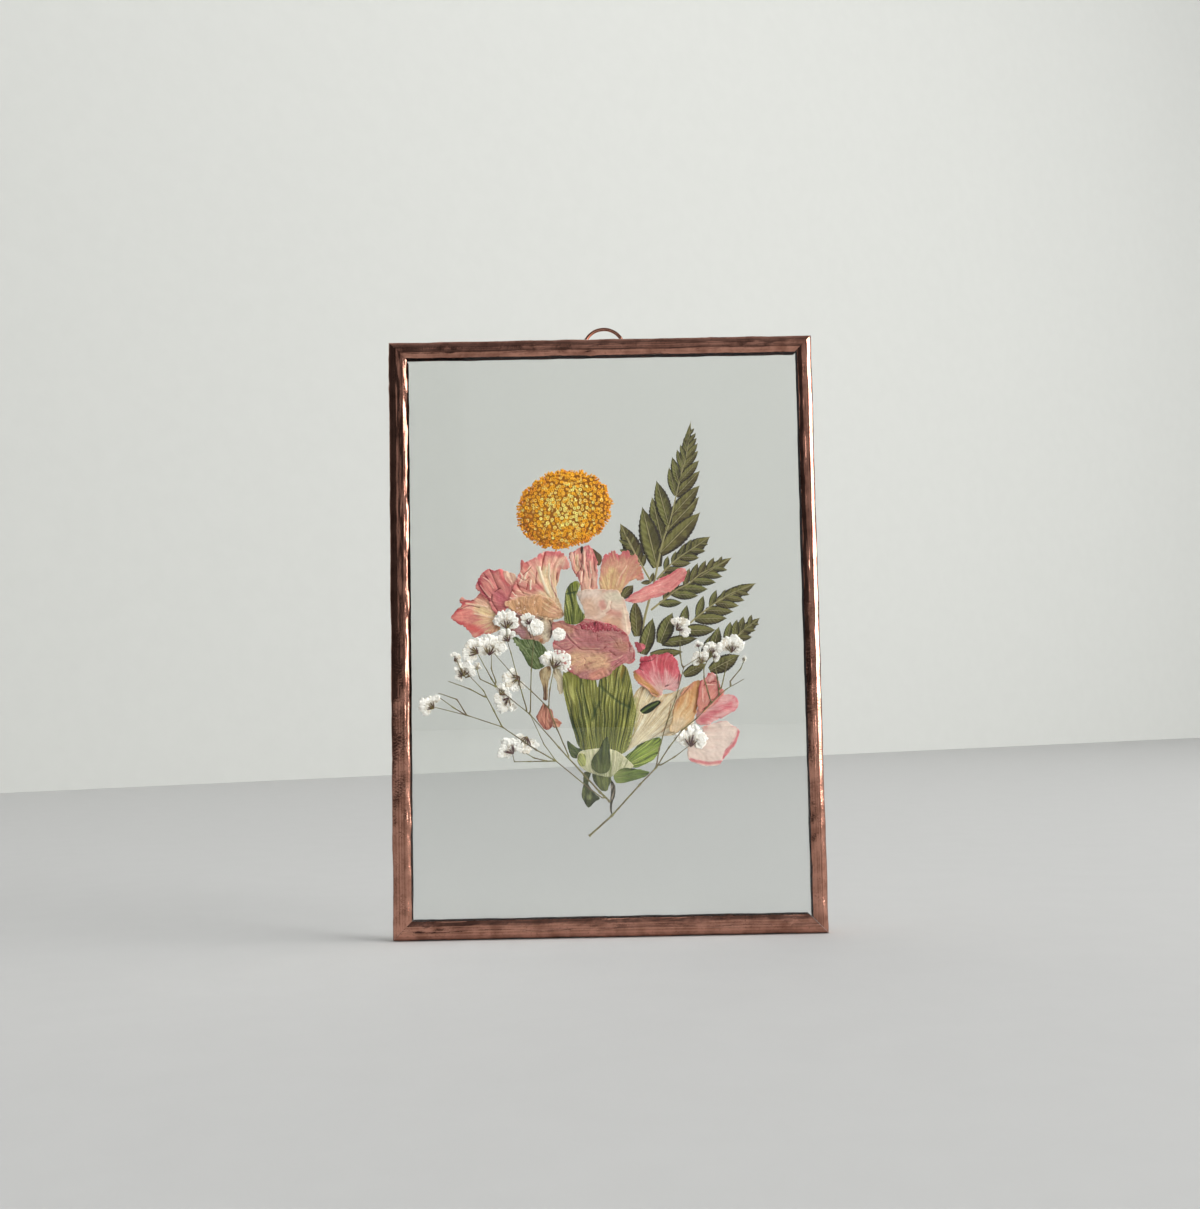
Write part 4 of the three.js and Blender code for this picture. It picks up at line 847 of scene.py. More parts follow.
        stains_and_shade=[(0.5, (104, 124, 58), 10, -24.2, 12.6, -22.6, 15.6, -21)],
        outline=[(9.3, -23.4), (10.6, -21.2), (13.2, -19.8), (16.8, -19.2), (16.4, -21), (14.4, -23.4),
         (12, -24.8), (10, -24.6)],
        valley_shade=(24, 30, 14), valley_shade_strength=0.9, ridge_highlight=(120, 138, 70), margin=1.2, rim_span=(0.0, 0.1),
        rim_strength=1.0),
}

# Ribbed looks of the calyx and bracts: painted highlights on the ribs and painted shade in the furrows
# between them, with veins.
CALYX_STRIPES_AND_SHADE = dict(
    slot="calyx", valley_shade=(46, 62, 20), valley_shade_strength=0.95, ridge_highlight=(216, 216, 128), ridge_highlight_strength=0.85,
    period=0.8, frill=0.08, margin=0.4, vein=(52, 66, 22), vein_strength=0.95, crumple=0.02, dent=0.1,
    patchy=0.85, vein_relief=1.2, fold=1.5, run=26, wander=0.5, stripe_run=0.025, stripe_scale=10, curl=0.1)
BRACT_STRIPES_AND_SHADE = dict(
    slot="bract", valley_shade=(38, 50, 22), valley_shade_strength=0.75, ridge_highlight=(150, 160, 92), ridge_highlight_strength=0.5,
    period=0.7, frill=0.1, margin=0.5, vein=(42, 52, 24), vein_strength=0.5, crumple=0.03, dent=0.3,
    patchy=0.7, run=14, wander=0.6, stripe_run=0.05, stripe_scale=12, curl=0.15)
GREENS = {
    "calyx_main": dict(
        CALYX_STRIPES_AND_SHADE, base=(-1.5, -58), body=(142, 142, 62), heart=(160, 168, 76), heart_span=(0.3, 0.6),
        rim=(98, 108, 42),
        stains_and_shade=[(2.6, (132, 112, 44), 3.6, -12.4, 6, -10.4), (0.9, (176, 168, 96), -11, -16, -10.6, -24)],
        cuts=[[(-3.4, -12.6), (-1.6, -12.6), (-2.1, -14.2), (-2.6, -16.2), (-3, -14.2)]],
        creases=[(0.7, 0.2, -2, -15.8, 0, -17.4, 3.3, -20.4, 7, -22.4),
         (0.8, 0.16, -2, -20.5, -3.4, -23, -4.6, -26), (0.3, 0.14, -10.8, -20, -10.2, -26, -8.4, -32)],
        crease=(48, 70, 26), crease_shade_strength=0.7),
    "calyx_upper": dict(
        CALYX_STRIPES_AND_SHADE, base=(-8, -12), body=(140, 148, 66), heart=(116, 128, 54), rim=(84, 98, 38),
        stains_and_shade=[(1.4, (140, 152, 42), -9, 14.6, -8.4, 16), (0.8, (168, 150, 70), -12.6, 11.6, -12.4, 6),
         (0.7, (66, 88, 34), -9, 12.2, -7.4, 9, -6, 5.6)],
        creases=[(0.5, 0.16, -11.5, 12.2, -8.6, 12.8)],
        crease=(48, 66, 28)),
    "bract_left_pale": dict(
        CALYX_STRIPES_AND_SHADE, base=(-5, -44), body=(178, 184, 112), rim=(132, 140, 74)),
    "bract_light": dict(
        CALYX_STRIPES_AND_SHADE, base=(3, -41), body=(160, 182, 76), heart=(140, 164, 64), rim=(106, 134, 48),
        ridge_highlight=(222, 228, 136), stripe_scale=8),
    "calyx_collar": dict(
        BRACT_STRIPES_AND_SHADE, base=(-0.5, -52), body=(224, 222, 182), heart=(150, 160, 98), heart_span=(0.4, 0.8),
        rim=(236, 228, 194), ridge_highlight=(244, 240, 212), valley_shade=(134, 142, 86), valley_shade_strength=0.6,
        vein_strength=0.2),
    "bract_centre": dict(
        BRACT_STRIPES_AND_SHADE, base=(-2, -50), body=(82, 94, 42), heart=(118, 124, 66), rim=(46, 56, 26)),
    "bract_left": dict(
        BRACT_STRIPES_AND_SHADE, base=(-5, -42), body=(72, 90, 40), rim=(44, 56, 28)),
    "bract_right": dict(
        BRACT_STRIPES_AND_SHADE, base=(-6, -45), body=(112, 136, 54), heart=(182, 190, 112), rim=(62, 82, 32)),
    "bract_foot": dict(
        BRACT_STRIPES_AND_SHADE, base=(-1, -54), body=(110, 118, 58), heart=(72, 82, 38), rim=(54, 62, 28)),
    "leaf_foot": dict(
        BRACT_STRIPES_AND_SHADE, base=(-3, -38), body=(70, 78, 36), heart=(102, 108, 54), rim=(36, 38, 20),
        stains_and_shade=[(1.4, (142, 148, 92), -5.8, -49)]),
    "leaf_left": dict(
        BRACT_STRIPES_AND_SHADE, slot="fern", base=(-17, -14), body=(74, 96, 44), heart=(92, 110, 52),
        rim=(36, 50, 22), ridge_highlight=(178, 192, 138), ridge_highlight_strength=0.65, vein=(150, 166, 112),
        vein_strength=0.45, teeth=0.5, fold=1.2,
        stains_and_shade=[(1.2, (132, 148, 96), -23.4, -3.6), (1.0, (138, 154, 100), -20.6, -8.4)],
        creases=[(0.2, 0.12, -27, -1, -24.4, -3.4, -22, -4.6, -19, -9), (0.16, 0.1, -24, -1.4, -21, -5.4),
         (0.16, 0.1, -19.4, -4.4, -17.6, -8)],
        crease=(30, 42, 18), crease_shade_strength=0.8),
    "petiole": dict(
        slot="petal_tan", base=(-18.5, -24), body=(196, 172, 128), heart=(110, 70, 52),
        heart_span=(0.4, 0.7), rim=(118, 84, 52), valley_shade=(84, 52, 36), ridge_highlight=(238, 226, 190), frill=0.08,
        margin=0.5),
    "calyx_sliver": dict(
        slot="petal_tan", base=(-12, -22), body=(240, 228, 196), rim=(120, 90, 56), valley_shade=(128, 98, 66),
        margin=0.5, valley_shade_strength=0.8),
    "billy_button_stem": dict(
        slot="dark_stem", base=(-7, 18), body=(92, 62, 44), rim=(60, 38, 28), valley_shade=(52, 34, 26),
        frill=0.1, narrow=0.3),
    "leaf_bit": dict(
        slot="dark_stem", base=(-1, 17), body=(112, 96, 56), rim=(72, 54, 34), valley_shade=(56, 46, 30),
        frill=0.1),
    "stem_stub": dict(
        slot="dark_stem", base=(1, -66), body=(58, 56, 34), rim=(38, 34, 22), valley_shade=(34, 32, 20),
        frill=0.06),
}


def make_sheets(table, settings, first_seed):
    for number, (node, entry) in enumerate(table.items()):
        look = {**PLAIN_LOOK, "rim": entry["body"], **entry}
        piece = sheet(node, look, settings, first_seed + number)
        replaced = () if "outline" in look else (node,)
        complete(piece, sheet_finish(node + "_finish", look), look["slot"], *replaced)


class PRESSED_OT_petals(Making, bpy.types.Operator):
    """Model the pressed petals"""
    bl_idname = "pressed.petals"
    bl_label = "Petals"

    def execute(self, context):
        make_sheets(PETALS, context.scene.pressed_petals, 100)
        return {"FINISHED"}


class PRESSED_OT_greens(Making, bpy.types.Operator):
    """Model the green pieces"""
    bl_idname = "pressed.greens"
    bl_label = "Calyx, bracts and leaves"

    def execute(self, context):
        make_sheets(GREENS, context.scene.pressed_petals, 200)
        return {"FINISHED"}


# ---------------------------------------------------------------- round flower head
GOLDEN_ANGLE = math.pi * (3 - math.sqrt(5))
CROWDING = 0.82     # the room of one floret over the square of the pitch
FACE_INSET = 0.7    # the florets of the faces stay this far inside the outline
JITTER = 0.4        # how far each of them stands from its place in the spiral
BRISTLE = 1.5       # length of a floret at the edge
# The core under the florets: its size over the head's, how deep it lies and its rounded edge.
CORE_SHARE, CORE_DEPTH, CORE_ROUNDING, CORE_SPACING = 0.9, 0.4, 1.8, 0.8


def floret_master():
    """A tiny five-lobed open tube, one unit across and one unit tall, with a small deep mouth."""
    bpy.ops.object.select_all(action="DESELECT")
    bpy.ops.mesh.primitive_circle_add(vertices=10, radius=0.22, fill_type="NGON")
    floret = take_active("floret_master")
    bpy.ops.object.mode_set(mode="EDIT")
    bpy.ops.mesh.select_mode(type="FACE")
    bpy.ops.mesh.select_all(action="SELECT")
    for rise, grow in ((0.55, 1.3), (0.35, 1.45), (0.1, 0.72), (-0.1, 0.5), (-0.35, 0.6)):
        bpy.ops.mesh.extrude_region_move(TRANSFORM_OT_translate={"value": (0, 0, rise)})
        bpy.ops.transform.resize(value=(grow, grow, 1))
    bpy.ops.object.mode_set(mode="OBJECT")
    points = coordinates(floret.data)
    lobe = np.cos(5 * np.arctan2(points[:, 1], points[:, 0]))
    lip = np.isclose(points[:, 2], 0.9, atol=0.01) & (np.linalg.norm(points[:, :2], axis=1) > 0.3)
    points[lip, :2] *= (1 + 0.28 * lobe[lip])[:, None]
    set_coordinates(floret.data, points)
    top = points[:, 2]
    throat = np.linalg.norm(points[:, :2], axis=1) < 0.13
    # Lift sets the painted shade: the low parts of the tube and the throat turn brown.
    set_attribute(floret, "lift", np.where(throat, 0.45, np.clip(top * 1.1, 0, 1)))
    return floret


def flat_outline(node, centre):
    """Outline of a domed CAD piece where it is widest, in order round its centre."""
    rim = coordinates(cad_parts[node].data)
    flat = (rim[:, [0, 2]] - np.array([MIDDLE.x, MIDDLE.z])) / MM
    widest = flat[np.abs((rim[:, 1] - MIDDLE.y) / MM) < 0.01]
    return widest[np.argsort(np.arctan2(widest[:, 1] - centre[1], widest[:, 0] - centre[0]))]


def floret_place(spot, angle, depth, lean, side, size, tall, chance):
    """Matrix of a floret whose mouth is at the spot, leaning outwards from the middle of the head."""
    out = math.sin(lean)
    axis = Vector((math.cos(angle) * out, side * math.cos(lean), math.sin(angle) * out))
    inward = tall * out
    foot = metres(spot[0] - math.cos(angle) * inward, depth - side * tall * math.cos(lean),
                  spot[1] - math.sin(angle) * inward)
    turn = axis.to_track_quat("Z", "Y").to_matrix().to_4x4()
    spin = Matrix.Rotation(chance.uniform(0, 2 * math.pi), 4, "Z")
    return Matrix.Translation(foot) @ turn @ spin @ Matrix.Diagonal((size * MM, size * MM, tall * MM, 1))


def head_shape(node):
    """The middle, thickness and outline of the head, the outline also as radii at angles."""
    low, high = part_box(node)
    centre = np.array([(low.x + high.x) / 2 - MIDDLE.x, (low.z + high.z) / 2 - MIDDLE.z]) / MM
    outline = flat_outline(node, centre)
    return {"centre": centre, "thickness": (high.y - low.y) / MM, "outline": outline,
            "angles": np.arctan2(outline[:, 1] - centre[1], outline[:, 0] - centre[0]),
            "radii": np.linalg.norm(outline - centre, axis=1)}


def reach_at(head, angle):
    """How far the outline of the head is from its middle at an angle."""
    return float(np.interp(angle, head["angles"], head["radii"], period=2 * math.pi))


def open_florets(head, pitch, chance):
    """Florets in a spiral over both faces of the head, each as (place, tone, darkening), the darkening being
    painted shade towards the lower left edge and random tone.
    """
    count = int(math.pi * np.mean(head["radii"] ** 2) / (pitch * pitch * CROWDING))
    for side in (-1, 1):
        for i in range(count):
            share = math.sqrt((i + 0.5) / count)
            angle = (i * GOLDEN_ANGLE + math.pi) % (2 * math.pi) - math.pi
            reach = share * (reach_at(head, angle) - FACE_INSET)
            spot = head["centre"] + reach * np.array([math.cos(angle), math.sin(angle)])
            spot += [chance.uniform(-JITTER, JITTER), chance.uniform(-JITTER, JITTER)]
            outer = max(0.0, share - 0.78) / 0.22
            lean = 0.25 * share + 0.7 * outer + chance.uniform(-0.5, 0.5)
            depth = side * (head["thickness"] / 2 * (1 - 0.55 * outer ** 2) - chance.uniform(0, 0.3))
            size = pitch * chance.uniform(0.85, 1.3)
            place = floret_place(spot, angle, depth, lean, side, size, chance.uniform(0.7, 1.0), chance)
            tone = min(1, max(0, 0.75 * (1 - share ** 1.5) + chance.gauss(0.05, 0.3)))
            # Orange darkening: painted shade towards the lower left edge of the head, and random tone.
            shade_and_mottle = 0.5 * share ** 4 * (0.7 - 0.4 * math.sin(angle + 0.6)) + chance.uniform(0, 0.75) ** 2
            yield place, tone, shade_and_mottle


def edge_florets(head, pitch, chance):
    """Three rows of narrow florets that bristle round the edge, each as (place, tone, darkening), the
    darkening random tone with painted shade along the bottom.
    """
    count = round(2 * math.pi * float(head["radii"].mean()) / (pitch * 0.8))
    for row in (-1, 0, 1):
        for i in range(count):
            angle = 2 * math.pi * (i + row / 3 + chance.uniform(-0.4, 0.4)) / count - math.pi
            reach = reach_at(head, angle) - chance.uniform(0, 0.95)
            spot = head["centre"] + reach * np.array([math.cos(angle), math.sin(angle)])
            depth = row * head["thickness"] * 0.26 + chance.uniform(-0.1, 0.1)
            side = -1 if row < 1 else 1
            size = pitch * chance.uniform(0.4, 0.7)
            skew = angle + chance.uniform(-0.35, 0.35)
            lean = chance.uniform(1.1, 1.55)
            place = floret_place(spot, skew, depth, lean, side, size, BRISTLE, chance)
            # Orange darkening: random tone, with painted shade stronger along the bottom.
            yield place, chance.uniform(0, 0.4), chance.uniform(0.1, 1.1) - 0.15 * math.sin(angle)


def head_core(head):
    """The domed middle that shows dark between the florets, coloured as painted shade."""
    inner = head["centre"] + (head["outline"] - head["centre"]) * CORE_SHARE
    outline = even_curve(inner, CORE_SPACING, True)
    points, triangles = filled([outline], CORE_SPACING, 3)
    edge = distance_to(points, outline, True)
    rise = head["thickness"] / 2 - CORE_DEPTH
    bulge = rise * np.sqrt(1 - (1 - np.clip(edge / CORE_ROUNDING, 0, 1)) ** 2)
    front = metres(points[:, 0], -bulge, points[:, 1])
    back = metres(points[:, 0], bulge, points[:, 1])
    core = new_piece("billy_button_core", np.vstack([front, back]),
                     np.vstack([triangles, triangles[:, ::-1] + len(points)]))
    apply_modifier(core, "WELD", merge_threshold=0.02 * MM)
    face_outwards(core)
    # The core is coloured as painted shade, the brown of a deep place between the florets.
    for name, value in (("tone", 0.0), ("shade_and_mottle", 0.5), ("lift", 0.3)):
        set_attribute(core, name, np.full(len(core.data.vertices), value))
    return core


def make_head(settings):
    node = "billy_button_head"
    head = head_shape(node)
    chance = random.Random(5)
    pitch = settings.pitch / MM
    places, tones, shades_and_mottles = zip(*open_florets(head, pitch, chance), *edge_florets(head, pitch, chance))
    master = floret_master()
    piece = repeated("billy_button_florets", master.data, places, {"tone": tones, "shade_and_mottle": shades_and_mottles})
    bpy.data.objects.remove(master)
    core = head_core(head)
    face_outwards(piece)
    join(piece, core)
    keep_between_panes(piece)
    complete(piece, head_finish(settings), "billy_button", node, smooth=False)


class PRESSED_OT_head(Making, bpy.types.Operator):
    """Model the florets of the yellow head"""
    bl_idname = "pressed.head"
    bl_label = "Round flower head"

    def execute(self, context):
        make_head(context.scene.pressed_head)
        return {"FINISHED"}


def head_finish(settings):
    finish = Finish("billy_button_finish", Roughness=0.7, IOR=1.4, Specular_IOR_Level=0.2)
    speckle = finish.span(finish.noise(finish.place(), 700, 2), 0.3, 0.7, -0.25, 0.25)
    tone = finish.sum(finish.attribute("tone"), speckle)
    colour = finish.mix(finish.span(tone, 0.35, 0.95), tuple(settings.gold), tuple(settings.pale))
    # Orange darkening: painted shade towards the lower left and bottom edge, and random tone.
    colour = finish.mix(finish.span(finish.attribute("shade_and_mottle"), 0.25, 0.9, 0, 0.8), colour, srgb(226, 132, 16))
    # Painted shade: brown low in each floret, in its throat and on the core.
    between = finish.span(finish.attribute("lift"), 0.75, 0.2, 0, 0.9)
    colour = finish.mix(between, colour, tuple(settings.brown))
    finish.use("Base Color", colour)
    finish.bump(finish.noise(finish.place(), 2600, 2), 0.4, 0.08)
    return finish.material


# ---------------------------------------------------------------- fern
FROND_RIB = [(10, -6), (12, 4.5), (15, 15), (18, 27.5), (20.5, 34.5), (23.5, 46), (26, 55), (27.5, 64.7)]
FROND_TIPS = [(27, 62.5), (26, 61), (25, 59.3), (24, 57.5), (23, 56), (21.5, 53.7), (20.4, 50.5),
              (16.5, 46.5), (15, 41.5), (12, 38.5), (28.4, 62.5), (28.9, 61), (29.1, 59.5), (29.4, 57.8),
              (29.5, 55.5), (29.7, 52.5), (29.9, 49.3), (29.7, 44.8), (29.5, 41.3), (29.7, 36.5)]
# node: (rib, tips of its leaflets, angle to the rib, breadth over length, undivided end of the blade)
SPRAYS = {
    "fern_frond": (FROND_RIB, FROND_TIPS, 29, 0.34, (0.72, 2.8)),
    "fern_pinna_left": ([(14.2, 15.5), (11, 21.5), (8, 27), (5.2, 33.5)],
                        [(4.7, 31), (4.6, 28.5), (4.8, 25.5), (7.6, 31.5), (9.3, 29.5), (11, 27), (12.6, 24),
                         (15, 18.4), (11, 15.2)], 42, 0.42, (0.3, 5.4)),
    "fern_pinna_1": ([(16, 16.2), (19.5, 20), (24, 23.5), (32.5, 29)],
                     [(19.5, 23.3), (22, 24.7), (24.7, 27), (26.7, 28.3), (28.8, 28.7), (31.8, 26.6),
                      (31, 24.6), (29, 22.6), (26.5, 21), (24, 19.2), (21, 17.7)], 36, 0.42, (0.4, 5)),
    "fern_pinna_2": ([(14, 6.9), (18, 10), (22, 13), (26, 15), (29, 17.5), (34, 20), (39, 22.5)],
                     [(23.5, 9), (28.5, 11), (31.5, 13), (34, 15), (36, 16.7), (37.5, 18.7), (20, 15.5),
                      (23, 18), (26, 19.5), (28.5, 21), (31, 21.8), (33.5, 22.6), (36, 23)], 36, 0.38,
    (0.5, 4)), "fern_pinna_3": ([(23, 0.5), (28.5, 5), (32.5, 8), (35.5, 10), (39.5, 12), (46, 14.5)],
                     [(25, 8.3), (30, 11), (34, 12.7), (36.7, 12.8), (38.8, 13.3), (41.5, 14.2), (33.5, 0.5),
                      (37, 4), (39, 6), (40.7, 7.7), (42.5, 9.3), (44, 11)], 36, 0.38, (0.5, 4)),
    "fern_pinna_4": ([(28, -10), (35, -5.5), (39, -2.5), (42, 0.5), (47, 4)],
                     [(32.5, -0.6), (34.5, 1.5), (38, 3), (40, 3.6), (42, 4.5), (44.5, 5), (46.7, 2),
                      (45.6, 0.2), (44.5, -1.8), (41.8, -3.4)], 38, 0.42, (0.55, 3.6)),
}
LEAFLETS = [((11.4, -6.5), (14.5, 4.5), 4.6), ((16.5, -3.2), (20.5, 6), 5), ((17, -3.2), (28, -1.9), 3.4),
            ((13.5, -6.6), (23.5, -5.9), 3), ((31.4, -11.8), (40.5, -7.2), 5), ((23.5, -13),
            (30.3, -9.6), 3.4), ((5.3, 10.9), (8.8, 14.6), 3.2), ((9.6, -1), (9.2, 10), 4.2)]


LEAF_RELIEF, LEAF_THICKNESS = 0.1, 0.06
LEAST_BREADTH = 0.9                    # of a leaflet near the tip
STEM_FLATNESS = {"fern": 0.14, "sprig": 0.16}  # thickness of the pressed stems
RIB_STEP, RIB_SKIP = 0.2, 6            # spacing of the rib's points, and which of them its tube has
FROND_WIDTH, PINNA_WIDTH, TIP_WIDTH = 0.9, 0.65, 0.16


def leaf_master():
    """A leaf blade from (0, 0) to (1, 0) with a toothed margin, a midrib and side veins in relief."""
    leaf, along, across = grid_master("leaf_master", 60, 12)
    swell = np.sin(math.pi * (0.13 + 0.87 * along) ** 1.1) ** 0.75
    teeth = 1 + 0.26 * ((along * 13) % 1 - 0.5) * np.abs(across) ** 5 * along
    vein = np.cos(2 * math.pi * (along * 9 - np.abs(across) * 1.9))
    height = 0.6 * np.exp(-(across / 0.1) ** 2) - 0.3 * across ** 2 + 0.08 * vein * np.abs(across)
    points = [along - 0.05 * np.abs(across) ** 2 * along, across * np.maximum(swell, 0.06) * teeth, height]
    set_coordinates(leaf.data, np.stack(points, axis=1))
    set_attribute(leaf, "along", along)
    set_attribute(leaf, "across", across)
    return leaf


def leaf_place(base, tip, breadth, depth, bend):
    """Matrix that lays the leaf master from base to tip, facing the front."""
    base, tip = np.array(base, float), np.array(tip, float)
    out = tip - base
    side = np.array([-out[1], out[0]]) / np.linalg.norm(out) * breadth / 2
    start = metres(base[0], depth, base[1])
    return Matrix((
        (out[0] * MM, side[0] * MM, 0, start[0]),
        (bend * MM, 0, -LEAF_RELIEF * MM, start[1]),
        (out[1] * MM, side[1] * MM, 0, start[2]),
        (0, 0, 0, 1)))


def ribbon_tube(name, lines, thickness, sides=3):
    """Pressed stems: tapered tubes along lines of (x, z, width), flattened to the given thickness."""
    curve = bpy.data.curves.new(name, "CURVE")
    curve.dimensions = "3D"
    curve.bevel_depth = 0.5 * MM
    curve.bevel_resolution = sides
    curve.use_fill_caps = True
    for points, depth in lines:
        spline = curve.splines.new("POLY")
        spline.points.add(len(points) - 1)
        for spot, (x, z, width) in zip(spline.points, points):
            spot.co = (x * MM, depth * MM, z * MM, 1)
            spot.radius = width
    holder = bpy.data.objects.new(name, curve)
    bpy.context.scene.collection.objects.link(holder)
    only(holder)
    bpy.ops.object.convert(target="MESH")
    piece = take_active(name)
    points = coordinates(piece.data)
    corners = points / MM
    start = 0
    ring = 2 * (sides + 1) + 2
    for line, depth in lines:
        stop = start + len(line) * ring
        part = corners[start:stop]
        widest = max(p[2] for p in line)
        part[:, 1] = depth + (part[:, 1] - depth) * min(1.0, thickness / widest)
        start = stop
    set_coordinates(piece.data, metres(corners[:, 0], corners[:, 1], corners[:, 2]))
    return piece


def make_spray(node, master, finish):
    """A rib with its leaflets, and the blade that is undivided towards the tip."""
    rib, tips, lean, slender, (blade_from, blade_width) = SPRAYS[node]
    depth = middle_depth(node)
    line = even_curve(rib, RIB_STEP, False)
    places = []
    for number, tip in enumerate(tips):
        away = np.linalg.norm(line - np.array(tip), axis=1)
        nearest = int(np.argmin(away))
        back = away[nearest] / math.tan(math.radians(lean)) / RIB_STEP
        base = line[max(0, round(nearest - back))]
        breadth = max(LEAST_BREADTH, slender * np.linalg.norm(np.array(tip) - base))
        places.append(leaf_place(base, tip, breadth, depth - 0.02 * (number % 4), 0.04 * (-1) ** number))
    start = line[int(blade_from * (len(line) - 1))]
    places.append(leaf_place(start, line[-1], blade_width, depth + 0.03, 0))
    piece = repeated(node + "_leaf", master.data, places, {"leaf": np.linspace(0, 1, len(places))})
    apply_modifier(piece, "SOLIDIFY", thickness=LEAF_THICKNESS * MM, offset=0)
    spots = line[::RIB_SKIP]
    widths = np.linspace(FROND_WIDTH if node == "fern_frond" else PINNA_WIDTH, TIP_WIDTH, len(spots))
    rib_line = [(x, z, w) for (x, z), w in zip(spots, widths)]
    spine = ribbon_tube(node + "_rib", [(rib_line, depth - 0.06)], STEM_FLATNESS["fern"])
    for name in ("along", "across", "leaf"):
        set_attribute(spine, name, np.zeros(len(spine.data.vertices)))
    join(piece, spine)
    face_outwards(piece)
    complete(piece, finish, "fern", node)


def make_fern(settings):
    master = leaf_master()
    finish = fern_finish(settings)
    for node in SPRAYS:
        make_spray(node, master, finish)
    for number, (base, tip, breadth) in enumerate(LEAFLETS, 1):
        node = f"fern_leaflet_{number}"
        place = leaf_place(base, tip, breadth, middle_depth(node), 0)
        piece = repeated(node + "_leaf", master.data, [place], {"leaf": [0.13 * number]})
        apply_modifier(piece, "SOLIDIFY", thickness=LEAF_THICKNESS * MM, offset=0)
        face_outwards(piece)
        complete(piece, finish, "fern", node)
    bpy.data.objects.remove(master)


class PRESSED_OT_fern(Making, bpy.types.Operator):
    """Model the fern's leaflets and ribs"""
    bl_idname = "pressed.fern"
    bl_label = "Fern"

    def execute(self, context):
        make_fern(context.scene.pressed_fern)
        return {"FINISHED"}


def fern_finish(settings):
    finish = Finish("fern_finish", Roughness=0.6, IOR=1.42, Specular_IOR_Level=0.25)
    across = finish.attribute("across")
    away = finish.node("ShaderNodeMath", {0: across}, operation="ABSOLUTE").outputs[0]
    bands = finish.sum(finish.product(finish.attribute("along"), 8.0),
                       finish.product(away, -1.6))
    wave = finish.node("ShaderNodeMath", {0: finish.product(bands, 2 * math.pi)},
                       operation="COSINE").outputs[0]
    blotch = finish.noise(finish.place(), 330, 4)
    grain = finish.noise(finish.place(), 1800, 2)
    # Painted light: one half of each leaflet lighter than the other, broken by random blotches.
    lit_half = finish.sum(finish.product(across, 0.28), blotch)
    colour = finish.mix(finish.span(lit_half, 0.3, 0.7), tuple(settings.green), tuple(settings.light))
    colour = finish.mix(finish.span(wave, 0.0, 1.0, 0, 0.2), colour, srgb(60, 54, 26))
    colour = finish.mix(finish.span(finish.attribute("leaf"), 0, 1, 0, 0.3), colour, srgb(112, 90, 48))
    dry = finish.sum(away, finish.span(grain, 0.3, 0.7, -0.09, 0.09))
    colour = finish.mix(finish.span(dry, 0.62, 0.86, 0, 0.95), colour, tuple(settings.margin))
    beside = finish.span(away, 0.2, 0.07, 0, 0.6)
    colour = finish.mix(beside, colour, tuple(settings.margin))
    colour = finish.mix(finish.span(away, 0.075, 0.035, 0, 0.85), colour, tuple(settings.rib))
    finish.use("Base Color", colour)
    finish.bump(finish.sum(grain, wave), 0.6, 0.07)
    return finish.material


